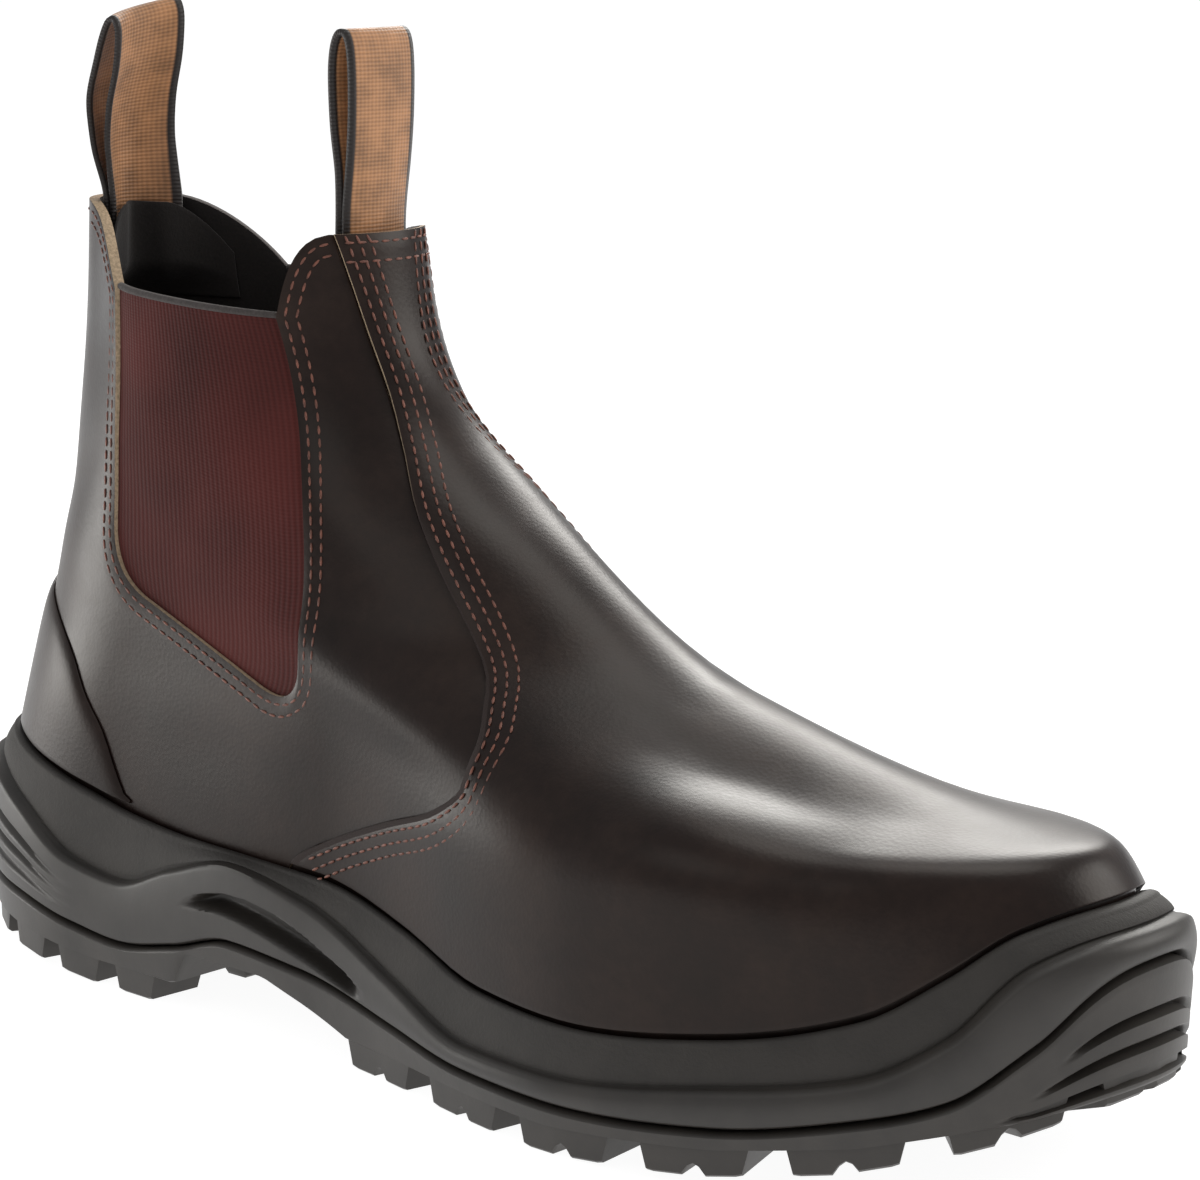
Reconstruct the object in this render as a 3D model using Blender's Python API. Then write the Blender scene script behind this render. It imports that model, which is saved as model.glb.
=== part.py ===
"""Pull-on ankle boot for the right foot: toe along +X, lateral side on -Y, ground at Z = 0."""
import math

import bmesh
import bpy
import numpy as np

# All sizes are in millimetres; x runs from the back of the heel, z from the ground.
MM = 0.001
SOLE_LENGTH = 303.0
LEATHER = 2.2
OVERLAY = 1.2
GAP = 0.3
COUNTER_EASE = 0.2
GORE_THICK = 1.2
GORE_SUNK = 0.8
GORE_EASE = 0.1
RIM_SHARE = 0.10
INSOLE_THICK = 4.0
INSOLE_EASE = 1.3
LUG_DEPTH = 5.5
TAPE_WIDTH = 18.5
TAPE_THICK = 1.4
EDGE_OUT = 6.1
HEEL_FLARE = 0.475
TOE_FLARE = 0.869
BED_OUT = -2.0
BED_DEPTH = 3.5


def table(names, rows):
    """Return the columns of a short table by name."""
    return dict(zip(names.split(), np.array(rows, float).T))


# Sections of the upper from the feather edge to the collar. Each runs from a point on the back
# line to a point on the front line, with half widths at heel, waist and ball.
SECTIONS = table(
    "share back_x back_z front_x front_z heel waist ball back_round front_round swing twist dome roll", [
        (0.00, 10.5, 27.0, 289.2, 34.0, 31.0, 30.5, 44.5, 0.16, 0.27, 1.00, 0.0, 0.0, 0.0),
        (0.10, 9.0, 48.0, 291.6, 54.0, 32.0, 32.0, 46.5, 0.16, 0.27, 1.00, 0.0, 0.0, 0.0),
        (0.20, 13.4, 61.2, 286.8, 59.1, 31.2, 32.0, 46.2, 0.16, 0.30, 1.00, 0.0, 19.5, 14.0),
        (0.30, 17.1, 73.9, 278.5, 60.7, 30.5, 32.0, 43.0, 0.17, 0.38, 0.90, 0.0, 12.3, 5.2),
        (0.40, 20.5, 84.5, 253.4, 63.9, 30.4, 32.0, 39.0, 0.19, 0.50, 0.80, 0.0, 9.6, -0.2),
        (0.50, 23.4, 94.3, 216.5, 73.6, 30.1, 31.8, 34.5, 0.22, 0.60, 0.60, 0.0, 6.2, -0.8),
        (0.60, 25.9, 104.0, 186.3, 85.0, 29.5, 31.3, 31.5, 0.27, 0.57, 0.40, 0.0, 3.4, 0.2),
        (0.70, 27.5, 114.7, 155.6, 105.0, 28.5, 30.5, 30.0, 0.36, 0.52, 0.25, 0.8, 1.3, 0.0),
        (0.80, 28.9, 127.3, 135.0, 119.5, 26.8, 29.8, 29.0, 0.46, 0.47, 0.10, 1.8, 0.0, 0.0),
        (0.90, 29.9, 143.0, 121.3, 138.0, 24.4, 29.2, 28.5, 0.56, 0.42, 0.00, 2.6, 0.0, 0.0),
        (1.00, 30.8, 164.5, 114.6, 161.5, 22.5, 28.8, 28.5, 0.62, 0.38, 0.00, 3.2, 0.0, 0.0),
    ])
WIDTH_STATIONS = np.array([0.0, 0.14, 0.42, 0.72, 1.0])
TOE_WIDTH = 0.95

# Lines along the side of the sole, by share of its length.
LINES = table(
    "share floor rim step parting pocket", [
        (0.00, 27.0, 48.0, 42.0, 16.0, 0.0),
        (0.06, 27.0, 47.5, 41.0, 16.0, 0.0),
        (0.12, 26.5, 44.5, 35.0, 15.0, 0.0),
        (0.18, 26.0, 41.0, 26.0, 12.0, 0.0),
        (0.23, 25.5, 38.0, 24.0, 10.5, 0.0),
        (0.29, 24.0, 36.4, 30.0, 13.5, 0.0),
        (0.35, 22.0, 36.0, 34.5, 18.0, 3.5),
        (0.42, 20.0, 35.5, 31.0, 16.5, 3.5),
        (0.52, 17.0, 30.5, 20.8, 12.0, 0.0),
        (0.60, 15.5, 24.8, 14.5, 9.5, 0.0),
        (0.68, 15.5, 24.0, 14.8, 9.5, 0.0),
        (0.79, 16.5, 27.2, 19.0, 11.4, 0.0),
        (0.87, 20.0, 33.5, 23.8, 16.2, 0.0),
        (0.91, 23.0, 42.0, 32.0, 20.6, 0.0),
        (0.94, 26.0, 50.0, 45.0, 31.0, 0.0),
        (0.965, 29.5, 53.3, 50.0, 44.5, 0.0),
        (1.00, 34.0, 54.5, 51.3, 47.0, 0.0),
    ])
TREAD = table(
    "share base", [
        (0.00, 11.0), (0.06, 9.0), (0.13, 7.2), (0.20, 5.5), (0.292, 5.5), (0.306, 13.0),
        (0.385, 13.0), (0.47, 5.5), (0.68, 5.5), (0.79, 7.8), (0.87, 11.5), (0.94, 17.5), (1.00, 26.0),
    ])
SWING = table("share shift", [(0.0, 0.0), (0.2, -0.5), (0.42, -3.0), (0.66, -1.0), (0.85, 3.5), (1.0, 6.0)])

# Panel edges in the side view.
GORE = table(
    "x z corner", [(60.0, 148.0, 0.0), (61.5, 88.0, 12.0), (124.0, 66.5, 16.0), (119.5, 102.0, 12.0), (104.4, 145.0, 0.0)])
SHOULDER = table("top_x bend_x", [(38.5, 49.0), (110.5, 105.5)])
VAMP_EDGE = table(
    "z x", [
        (15.0, 108.0), (37.7, 121.0), (43.5, 131.5), (51.0, 150.0), (56.8, 166.5), (63.0, 174.8),
        (69.9, 175.8), (77.4, 171.0), (85.4, 162.0), (96.7, 150.2), (114.4, 134.4), (125.2, 126.3),
        (140.4, 118.0), (154.7, 113.1), (162.0, 111.0),
    ])
COUNTER_EDGE = table(
    "x z", [
        (14.0, 84.0), (26.0, 80.5), (36.0, 76.5), (47.5, 68.4), (53.5, 60.2), (59.0, 53.7), (63.0, 46.2),
        (66.0, 41.3), (68.0, 39.5),
    ])

# Pull loops: distance in from the wall and height above the collar.
LOOP_BACK = table(
    "inward height", [
        (0.0, -13.0), (0.0, 0.0), (-2.6, 11.0), (-2.8, 20.0), (0.6, 30.5), (4.2, 38.5), (6.4, 41.0),
        (8.0, 39.0), (6.6, 30.5), (3.2, 20.0), (2.0, 11.0), (1.9, 0.0), (1.9, -13.0),
    ])
LOOP_FRONT = table(
    "inward height", [
        (0.0, -13.0), (0.0, 0.0), (-0.6, 12.0), (-1.2, 24.0), (-1.4, 33.0), (-0.8, 39.2), (0.8, 41.2),
        (2.8, 39.0), (3.8, 32.0), (3.6, 22.0), (2.4, 11.0), (1.9, 0.0), (1.9, -13.0),
    ])

LOOP_SEAT = table("off tilt", [(1.0, 0.2), (1.2, 0.0)])

# Tread blocks: centre along the outline from the toe or heel end, and run at the foot.
TOE_LUGS = table("centre run", [(0.0, 22.0), (30.0, 19.0), (59.0, 19.0), (88.0, 19.0), (117.0, 19.0), (146.0, 19.0), (175.0, 18.0)])
HEEL_LUGS = table("centre run", [(0.0, 11.0), (18.5, 10.5), (37.0, 10.5), (55.5, 10.5), (74.0, 10.5), (92.5, 10.0)])
FORE_BARS = table("x half", [(142.0, 12.0), (166.0, 17.0), (190.0, 21.0), (214.0, 21.0), (238.0, 18.0)])
HEEL_BARS = table("x half", [(31.0, 9.0), (48.0, 14.0), (64.0, 14.0), (80.0, 14.0)])
SHANK_BARS = table("x half", [(98.0, 14.0), (105.0, 14.0), (112.0, 14.0)])
TOE_LUG_INSET = 17.0
HEEL_LUG_INSET = 13.0
SHANK_BAR_DROP = 3.0


def steady(knots, values, at):
    """Monotone smooth curve through a table column."""
    step = np.diff(knots)
    rise = np.diff(values) / step
    slope = np.concatenate([rise[:1], np.zeros(len(rise) - 1), rise[-1:]])
    for i in range(1, len(rise)):
        if rise[i - 1] * rise[i] > 0:
            a = 2 * step[i] + step[i - 1]
            b = step[i] + 2 * step[i - 1]
            slope[i] = (a + b) / (a / rise[i - 1] + b / rise[i])
    at = np.clip(at, knots[0], knots[-1])
    i = np.clip(np.searchsorted(knots, at, side="right") - 1, 0, len(step) - 1)
    t = (at - knots[i]) / step[i]
    start = values[i] * (1 + 2 * t) * (1 - t) ** 2 + step[i] * slope[i] * t * (1 - t) ** 2
    return start + values[i + 1] * t * t * (3 - 2 * t) + step[i] * slope[i + 1] * t * t * (t - 1)


def bends(knots, rows):
    """Second slopes of the natural cubic through rows of values."""
    step = np.diff(knots)
    count = len(knots)
    left = np.eye(count)
    right = np.zeros_like(rows)
    for i in range(1, count - 1):
        left[i, i - 1:i + 2] = (step[i - 1], 2 * (step[i - 1] + step[i]), step[i])
        right[i] = 6 * ((rows[i + 1] - rows[i]) / step[i] - (rows[i] - rows[i - 1]) / step[i - 1])
    return np.linalg.solve(left, right)


def between(share, rows):
    """Value between section rows at each point's share of the height, straight below the rim."""
    knots = SECTIONS["share"]
    i = np.clip(np.searchsorted(knots, share, side="right") - 1, 0, len(knots) - 2)
    run = knots[i + 1] - knots[i]
    a = (knots[i + 1] - share) / run
    b = 1 - a
    bend = np.concatenate([0 * rows[:1], bends(knots[1:], rows[1:])])
    n = np.arange(len(share))
    flat = a * rows[i, n] + b * rows[i + 1, n]
    return flat + ((a ** 3 - a) * bend[i, n] + (b ** 3 - b) * bend[i + 1, n]) * run * run / 6


def line(name, x):
    """Height of a line along the side of the sole."""
    return steady(LINES["share"], LINES[name], np.asarray(x) / SOLE_LENGTH)


def tread(x):
    """Height of the tread base."""
    return np.interp(np.asarray(x) / SOLE_LENGTH, TREAD["share"], TREAD["base"])


def swing(x):
    """Sideways swing of the foot's centre line."""
    return steady(SWING["share"], SWING["shift"], np.asarray(x) / SOLE_LENGTH)


def section_loops(angle):
    """Points of every section at the given angles, heel 0, lateral side first, toe at pi."""
    run = (1 - np.cos(angle)) / 2
    side = -np.sign(np.sin(angle))
    xs, ys, zs = [], [], []
    for k in range(len(SECTIONS["share"])):
        row = {name: column[k] for name, column in SECTIONS.items()}
        x = row["back_x"] + run * (row["front_x"] - row["back_x"])
        widths = np.array([row["heel"], row["heel"], row["waist"], row["ball"], row["ball"] * TOE_WIDTH])
        width = steady(WIDTH_STATIONS, widths, run)
        width = width * np.sqrt(1 - (1 - np.minimum(run / row["back_round"], 1)) ** 2)
        width = width * np.sqrt(1 - (1 - np.minimum((1 - run) / row["front_round"], 1)) ** 2)
        height = row["back_z"] + run * (row["front_z"] - row["back_z"])
        fall = np.clip((run - 0.4) / 0.3, 0, 1)
        fall = 4 * run * (1 - run) * fall * fall * (3 - 2 * fall)
        height = height - np.where(side > 0, row["dome"], row["roll"]) * fall
        if k < 2:
            height = line(("floor", "rim")[k], x)
        xs.append(x)
        ys.append(swing(x) * row["swing"] - row["twist"] * (1 - run) ** 2 + side * width)
        zs.append(height)
    return np.array(xs), np.array(ys), np.array(zs)


def surface(share, angle):
    """Outer face of the upper."""
    share, angle = np.broadcast_arrays(np.asarray(share, float), np.asarray(angle, float))
    rows = section_loops(angle.ravel())
    points = [between(share.ravel(), r) for r in rows]
    return np.stack(points, -1).reshape(share.shape + (3,))


def upper_at(share, angle, out):
    """Point standing off the upper's outer face by a distance."""
    d = 1e-4
    share = np.asarray(share, float)
    low = np.clip(share - d, 0, 1)
    high = np.clip(share + d, 0, 1)
    up = surface(high, angle) - surface(low, angle)
    round_ = surface(share, np.asarray(angle) + d) - surface(share, np.asarray(angle) - d)
    normal = np.cross(round_, up)
    normal /= np.linalg.norm(normal, axis=-1)[..., None]
    return surface(share, angle) + normal * np.asarray(out)[..., None]


def place(x, z, medial=False):
    """Share and angle of the surface point seen at x, z from the side."""
    x, z = np.broadcast_arrays(np.asarray(x, float), np.asarray(z, float))
    shape = x.shape
    x, z = x.ravel(), z.ravel()
    low, high = np.zeros(len(x)), np.ones(len(x))
    one = np.ones((1, len(x)))
    for _ in range(44):
        share = (low + high) / 2
        back = between(share, SECTIONS["back_x"][:, None] * one)
        front = between(share, SECTIONS["front_x"][:, None] * one)
        run = np.clip((x - back) / (front - back), 0, 1)
        run = np.where(run < 1e-8, 0.0, run)
        angle = np.arccos(1 - 2 * run)
        below = surface(share, angle)[:, 2] < z
        low = np.where(below, share, low)
        high = np.where(below, high, share)
    if medial:
        angle = 2 * math.pi - angle
    return share.reshape(shape), angle.reshape(shape)


def outline(angle, out):
    """Plan of the sole at a distance out from the rim of the upper."""
    d = 1e-4
    share = np.full_like(angle, RIM_SHARE)
    p = surface(share, angle)
    along = surface(share, angle + d) - surface(share, angle - d)
    normal = np.stack([along[:, 1], -along[:, 0]], -1)
    normal /= np.linalg.norm(normal, axis=1)[:, None]
    run = (1 - np.cos(angle)) / 2
    flare = 1 + HEEL_FLARE * (1 - run) ** 4 + TOE_FLARE * run ** 8
    return p[:, :2] + normal * (flare * out)[..., None]


def ring(angle, out, height):
    """Ring of points round the sole."""
    return np.column_stack([outline(angle, out), height])


def sole_angles():
    """Angles round the sole, with columns at the heel breast and the front of the shank."""
    back, front = SECTIONS["back_x"][1], SECTIONS["front_x"][1]
    even = np.linspace(0, math.pi, 33)[1:-1]
    marks = TREAD["share"][4:8] * SOLE_LENGTH
    marked = np.arccos(1 - 2 * (marks - back) / (front - back))
    keep = [a for a in even if np.min(np.abs(marked - a)) > 0.035]
    half = np.sort(np.concatenate([keep, marked]))
    return np.concatenate([[0.0], half, [math.pi], 2 * math.pi - half[::-1]])


ANGLES = sole_angles()
LATERAL, MEDIAL = 1, 0
RIM_X = surface(np.full_like(ANGLES, RIM_SHARE), ANGLES)[:, 0]
EDGE_Y = outline(np.linspace(0, 2 * math.pi, 721), EDGE_OUT)[:, 1]
SHIFT = np.array([-SOLE_LENGTH / 2, -(EDGE_Y.min() + EDGE_Y.max()) / 2, 0.0])


def grid_faces(rows, columns, start=0):
    """Quads of a grid of points."""
    faces = []
    for r in range(rows - 1):
        for c in range(columns - 1):
            a = start + r * columns + c
            faces.append((a, a + 1, a + columns + 1, a + columns))
    return faces


def ladder(count, start):
    """Rungs across a ring from the lateral to the medial side."""
    half = count // 2
    faces = [(start, start + 1, start + count - 1)]
    for i in range(1, half - 1):
        faces.append((start + i, start + i + 1, start + count - i - 1, start + count - i))
    faces.append((start + half - 1, start + half, start + half + 1))
    return faces


def ring_solid(rings):
    """Points and faces of a solid stacked from rings and closed by rungs at both ends."""
    count = len(rings[0])
    faces = ladder(count, 0)
    for r in range(len(rings) - 1):
        for c in range(count):
            d = (c + 1) % count
            faces.append((r * count + c, r * count + d, (r + 1) * count + d, (r + 1) * count + c))
    faces += ladder(count, (len(rings) - 1) * count)
    return np.concatenate(rings), faces


def thick_sheet(outer, inner, faces):
    """Points and faces of a closed wall between two sheets of the same layout."""
    _, first, welded = np.unique(np.round(outer, 3) + 0.0, axis=0, return_index=True, return_inverse=True)
    welded = np.ravel(welded)
    count = len(first)
    outside = []
    for face in faces:
        loop = []
        for i in face:
            if welded[i] not in loop:
                loop.append(int(welded[i]))
        if len(loop) > 2:
            outside.append(tuple(loop))
    edges = {}
    for face in outside:
        for a, b in zip(face, face[1:] + face[:1]):
            key = (min(a, b), max(a, b))
            edges[key] = edges.get(key, 0) + 1
    rim = [key for key, uses in edges.items() if uses == 1]
    inside = [tuple(i + count for i in face[::-1]) for face in outside]
    sides = [(b, a, a + count, b + count) for a, b in rim]
    return np.concatenate([outer[first], inner[first]]), outside + inside + sides


def build_mesh(name, points, faces):
    """Mesh of points in millimetres, closed, outward and in triangles."""
    bm = bmesh.new()
    verts = [bm.verts.new((p + SHIFT) * MM) for p in points]
    for face in faces:
        bm.faces.new([verts[i] for i in face])
    bmesh.ops.recalc_face_normals(bm, faces=bm.faces)
    bmesh.ops.triangulate(bm, faces=bm.faces)
    mesh = bpy.data.meshes.new(name)
    bm.to_mesh(mesh)
    bm.free()
    return mesh


def add_node(name, mesh, colour, roughness):
    """Named object with its own material."""
    obj = bpy.data.objects.new(name, mesh)
    bpy.context.collection.objects.link(obj)
    material = bpy.data.materials.new(name)
    material.use_nodes = True
    shader = material.node_tree.nodes["Principled BSDF"]
    shader.inputs["Base Color"].default_value = colour + (1.0,)
    shader.inputs["Roughness"].default_value = roughness
    mesh.materials.clear()
    mesh.materials.append(material)
    return obj


def heel_share(x):
    """One at the back of the heel, fading to nothing along its side."""
    return np.clip((46.0 - x) / 30.0, 0, 1)


def toe_share(x):
    """One at the toe tip, fading to nothing behind it."""
    return np.clip((x - 262.0) / 22.0, 0, 1)


def bed(out):
    """Inner ring of the parting face, kept below the floor of the cup."""
    edge = outline(ANGLES, out)
    return np.minimum(line("parting", RIM_X), line("floor", edge[:, 0]) - BED_DEPTH)


def midsole_rings():
    """Rings of the cup sole from its parting face up over the rim and down to its floor."""
    rim, step, parting = (line(n, RIM_X) for n in ("rim", "step", "parting"))
    pocket = line("pocket", RIM_X)
    low, high = parting + 1.0, step - 0.8
    inside = np.full_like(ANGLES, BED_OUT)
    rings = [ring(ANGLES, inside, bed(inside) + GAP / 2), ring(ANGLES, EDGE_OUT - 2.1, parting + GAP / 2)]
    side = table(
        "share rib lens", [
            (0.0, 0.0, 0.0), (0.25, 0.0, 0.95), (0.37, 1.0, 1.0), (0.5, 0.0, 0.8), (0.63, 1.0, 0.3),
            (0.76, 0.0, 0.0), (1.0, 0.0, 0.0),
        ])
    for share, rib, lens in zip(side["share"], side["rib"], side["lens"]):
        out = EDGE_OUT - 0.2 - lens * pocket - rib * heel_share(RIM_X)
        rings.append(ring(ANGLES, out + 0.2 * share, low + (high - low) * share))
    rings.append(ring(ANGLES, EDGE_OUT - 1.7, step + 0.2))
    rings.append(ring(ANGLES, EDGE_OUT - 3.9, rim - 0.7))
    rings.append(ring(ANGLES, EDGE_OUT - 4.8, rim))
    for share, ease in ((1.0, 0.1), (0.5, 0.5), (0.0, 0.5)):
        wall = upper_at(np.full_like(ANGLES, RIM_SHARE * share), ANGLES, np.full_like(ANGLES, GAP + ease))
        if share == 1.0:
            wall[:, 2] = rim
        if share == 0.0:
            wall[:, 2] = line("floor", wall[:, 0]) - GAP
        rings.append(wall)
    return rings


def outsole_rings():
    """Rings of the outsole slab from its parting face down to the tread base."""
    parting = line("parting", RIM_X)
    base = tread(RIM_X)
    top = parting - GAP / 2
    inside = np.full_like(ANGLES, BED_OUT)
    rings = [ring(ANGLES, inside, bed(inside) - GAP / 2), ring(ANGLES, EDGE_OUT - 1.8, top)]
    cuts = table(
        "share cut", [(0.26, 0.0), (0.4, 1.0), (0.5, 0.0), (0.64, 1.0), (0.74, 0.0), (0.86, 1.0), (0.95, 0.0)])
    for share, cut in zip(cuts["share"], cuts["cut"]):
        out = EDGE_OUT - 0.1 - 0.6 * share - 1.3 * cut * toe_share(RIM_X)
        rings.append(ring(ANGLES, out, top + (base - top) * share))
    rings.append(ring(ANGLES, np.full_like(ANGLES, EDGE_OUT - 0.9), base))
    return rings


def angle_along():
    """Angle on the outline by distance from the toe tip, medial side positive."""
    angle = np.linspace(0, 2 * math.pi, 1441)
    p = outline(angle, EDGE_OUT - 1.2)
    run = np.concatenate([[0.0], np.cumsum(np.linalg.norm(np.diff(p, axis=0), axis=1))])
    return run - run[720], angle


RUN, RUN_ANGLE = angle_along()


def edge_lug(centre, run, inset, notched):
    """Tread block along the edge of the sole, tapered to its foot."""
    half = run / 2
    profile = [(-half - 1.5, -1.2), (-half, 1.0), (half, 1.0), (half + 1.5, -1.2)]
    if notched:
        profile[2:2] = [(-1.6, 1.0), (-0.7, 0.62), (0.9, 0.62), (1.8, 1.0)]
    along = np.array([centre + u for u, _ in profile])
    span = RUN[-1] - RUN[0]
    angle = np.interp((along - RUN[0]) % span + RUN[0], RUN, RUN_ANGLE)
    outer = outline(angle, EDGE_OUT - 1.2)
    inner = outline(angle, EDGE_OUT - inset)
    drop = np.array([d for _, d in profile])
    count = len(profile)
    rows = []
    for plan in (outer, inner):
        base = tread(plan[:, 0])
        rows.append(np.column_stack([plan, np.where(drop > 0, base - drop * LUG_DEPTH, base + 1.2)]))
    points = np.concatenate(rows)
    faces = [tuple(range(count)), tuple(range(2 * count - 1, count - 1, -1))]
    for i in range(count):
        j = (i + 1) % count
        faces.append((i, j, j + count, i + count))
    return points, faces


def bar(x, half, width, drop):
    """Tread bar across the middle of the sole."""
    points = []
    for dx in (-width / 2, width / 2):
        for y in (-half, half):
            base = float(tread(x))
            points.append((x + dx, float(swing(x)) + y, base + 1.2))
            points.append((x + dx * 0.85, float(swing(x)) + y * 0.95, base - drop))
    faces = [(0, 1, 3, 2), (4, 6, 7, 5), (0, 4, 5, 1), (2, 3, 7, 6), (0, 2, 6, 4), (1, 5, 7, 3)]
    return np.array(points), faces


def tread_blocks():
    """Points and faces of all the tread blocks and bars."""
    blocks = []
    for centre, run in zip(TOE_LUGS["centre"], TOE_LUGS["run"]):
        for side in ((1,) if centre == 0 else (-1, 1)):
            blocks.append(edge_lug(side * centre, run, TOE_LUG_INSET, True))
    heel = RUN[-1]
    for centre, run in zip(HEEL_LUGS["centre"], HEEL_LUGS["run"]):
        for side in ((1,) if centre == 0 else (-1, 1)):
            blocks.append(edge_lug(heel + side * centre, run, HEEL_LUG_INSET, False))
    for bars, width, drop in ((FORE_BARS, 9.0, LUG_DEPTH), (HEEL_BARS, 7.0, LUG_DEPTH), (SHANK_BARS, 3.5, SHANK_BAR_DROP)):
        for x, half in zip(bars["x"], bars["half"]):
            blocks.append(bar(x, half, width, drop))
    points, faces, start = [], [], 0
    for block, block_faces in blocks:
        points.append(block)
        faces += [tuple(i + start for i in face) for face in block_faces]
        start += len(block)
    return np.concatenate(points), faces


def joined(mesh, extra):
    """Union of two meshes as one closed body."""
    body = bpy.data.objects.new("body", mesh)
    tool = bpy.data.objects.new("blocks", extra)
    for obj in (body, tool):
        bpy.context.collection.objects.link(obj)
    union = body.modifiers.new("union", "BOOLEAN")
    union.operation = "UNION"
    union.solver = "EXACT"
    union.object = tool
    graph = bpy.context.evaluated_depsgraph_get()
    result = bpy.data.meshes.new_from_object(body.evaluated_get(graph))
    for obj in (body, tool):
        bpy.data.objects.remove(obj)
    bm = bmesh.new()
    bm.from_mesh(result)
    bmesh.ops.remove_doubles(bm, verts=bm.verts, dist=0.02 * MM)
    bmesh.ops.triangulate(bm, faces=bm.faces)
    bm.to_mesh(result)
    bm.free()
    return result


def rounded(corners, inset, steps=4):
    """Corners of a panel in the side view with its rounded ones as arcs, drawn in by an inset."""
    x, z, size = corners["x"], corners["z"], corners["corner"]
    path = []
    for i in range(len(x)):
        here = np.array([x[i], z[i]])
        if size[i] == 0:
            path.append(here)
            continue
        back = np.array([x[i - 1], z[i - 1]]) - here
        ahead = np.array([x[(i + 1) % len(x)], z[(i + 1) % len(x)]]) - here
        a = here + back / np.linalg.norm(back) * size[i]
        b = here + ahead / np.linalg.norm(ahead) * size[i]
        for t in np.linspace(0, 1, steps + 1):
            path.append((1 - t) ** 2 * a + 2 * t * (1 - t) * here + t * t * b)
    path = np.array(path)
    along = np.roll(path, -1, 0) - np.roll(path, 1, 0)
    along /= np.linalg.norm(along, axis=1)[:, None]
    return path + np.column_stack([-along[:, 1], along[:, 0]]) * inset


def evenly(path, count):
    """Points spaced evenly along a path."""
    run = np.concatenate([[0.0], np.cumsum(np.linalg.norm(np.diff(path, axis=0), axis=1))])
    at = np.linspace(0, run[-1], count)
    return np.column_stack([np.interp(at, run, path[:, k]) for k in range(2)])


def gore_path(inset):
    """Edge of the gore from its top rear corner down, forward and up to its top front corner."""
    edge = rounded(GORE, inset)
    parts = [evenly(edge[:2], 9), edge[1:6], evenly(edge[5:7], 7), edge[6:11], edge[10:12]]
    parts += [edge[11:16], evenly(edge[15:], 5)]
    return np.concatenate([parts[0]] + [part[1:] for part in parts[1:]])


def collar_z(x):
    """Height of the collar line."""
    back, front = SECTIONS["back_x"][-1], SECTIONS["front_x"][-1]
    run = (np.asarray(x) - back) / (front - back)
    return SECTIONS["back_z"][-1] + run * (SECTIONS["front_z"][-1] - SECTIONS["back_z"][-1])


def shoulder(which):
    """Rounded shoulder of the collar from its top down to the gore."""
    corner = (0, -1)[which]
    low = np.array([GORE["x"][corner], GORE["z"][corner]])
    top = np.array([SHOULDER["top_x"][which], float(collar_z(SHOULDER["top_x"][which]))])
    bend = np.array([SHOULDER["bend_x"][which], top[1] - 1.0])
    t = np.linspace(0, 1, 9)[:, None]
    return (1 - t) ** 2 * top + 2 * t * (1 - t) * bend + t * t * low


def vamp_x(z):
    """Rear edge of the vamp in the side view."""
    return steady(VAMP_EDGE["z"], VAMP_EDGE["x"], z)


VAMP_TOP = np.array([VAMP_EDGE["x"][-1], float(collar_z(VAMP_EDGE["x"][-1]))])
VAMP_Z = np.array([15.5, 27.0, 38.0, 43.0, 47.5, 52.0, 57.0, 62.5, 70.0, 78.0, 88.0, 100.0, 114.0, 130.0, 147.0, VAMP_TOP[1]])
QUARTER_ROWS = 1 - np.linspace(1, 0, 6) ** 1.7
BACK_COUNT = 14


def quarter_patch(medial):
    """Share and angle grids of one side of the upper, round the gore from back line to vamp edge."""
    inner = np.concatenate([evenly(shoulder(0), 5), gore_path(0.0)[1:], evenly(shoulder(1)[::-1], 4)[1:]])
    share = np.linspace(1, 0, 40)
    back = surface(share, np.full(40, 1e-9))[:, [0, 2]]
    edge = np.column_stack([vamp_x(VAMP_Z), VAMP_Z])
    edge[0, 1] = float(line("floor", edge[0, 0]))
    edge[-1] = VAMP_TOP
    foot_count = len(inner) + 2 - BACK_COUNT - len(edge)
    reach = float(place(edge[0, 0], edge[0, 1])[1])
    foot = surface(np.zeros(foot_count), np.linspace(1e-9, reach, foot_count))[:, [0, 2]]
    outer = np.concatenate([evenly(back, BACK_COUNT), foot[1:], edge[1:]])
    t = QUARTER_ROWS[:, None, None]
    mix = inner[None] * (1 - t) + outer[None] * t
    share, angle = place(mix[..., 0], mix[..., 1], medial)
    angle[-1, :BACK_COUNT] = 2 * math.pi if medial else 0.0
    share[-1, BACK_COUNT - 1:BACK_COUNT + foot_count - 1] = 0.0
    return share, angle


def vamp_grid(columns, low_share):
    """Share and angle grids across the front of the upper between its two vamp edges."""
    edge = np.column_stack([vamp_x(VAMP_Z), VAMP_Z])
    edge[0, 1] = float(line("floor", edge[0, 0]))
    edge[-1] = VAMP_TOP
    share, angle = place(edge[:, 0], edge[:, 1])
    keep = share >= low_share
    if low_share > 0:
        first = np.interp(low_share, share, angle)
        share = np.concatenate([[low_share], share[keep]])
        angle = np.concatenate([[first], angle[keep]])
    t = np.linspace(0, 1, columns)[None]
    angle = angle[:, None] * (1 - t) + (2 * math.pi - angle[:, None]) * t
    return share[:, None] + 0 * t, angle


def upper_solid():
    """Hollow upper, open at the collar, the gores and underneath."""
    outer, inner, faces, start = [], [], [], 0
    for share, angle in (quarter_patch(False), quarter_patch(True), vamp_grid(24, 0.0)):
        outer.append(upper_at(share, angle, np.zeros_like(share)).reshape(-1, 3))
        inner.append(upper_at(share, angle, np.full_like(share, -LEATHER)).reshape(-1, 3))
        faces += grid_faces(*share.shape, start)
        start += share.size
    return thick_sheet(np.concatenate(outer), np.concatenate(inner), faces)


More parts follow.
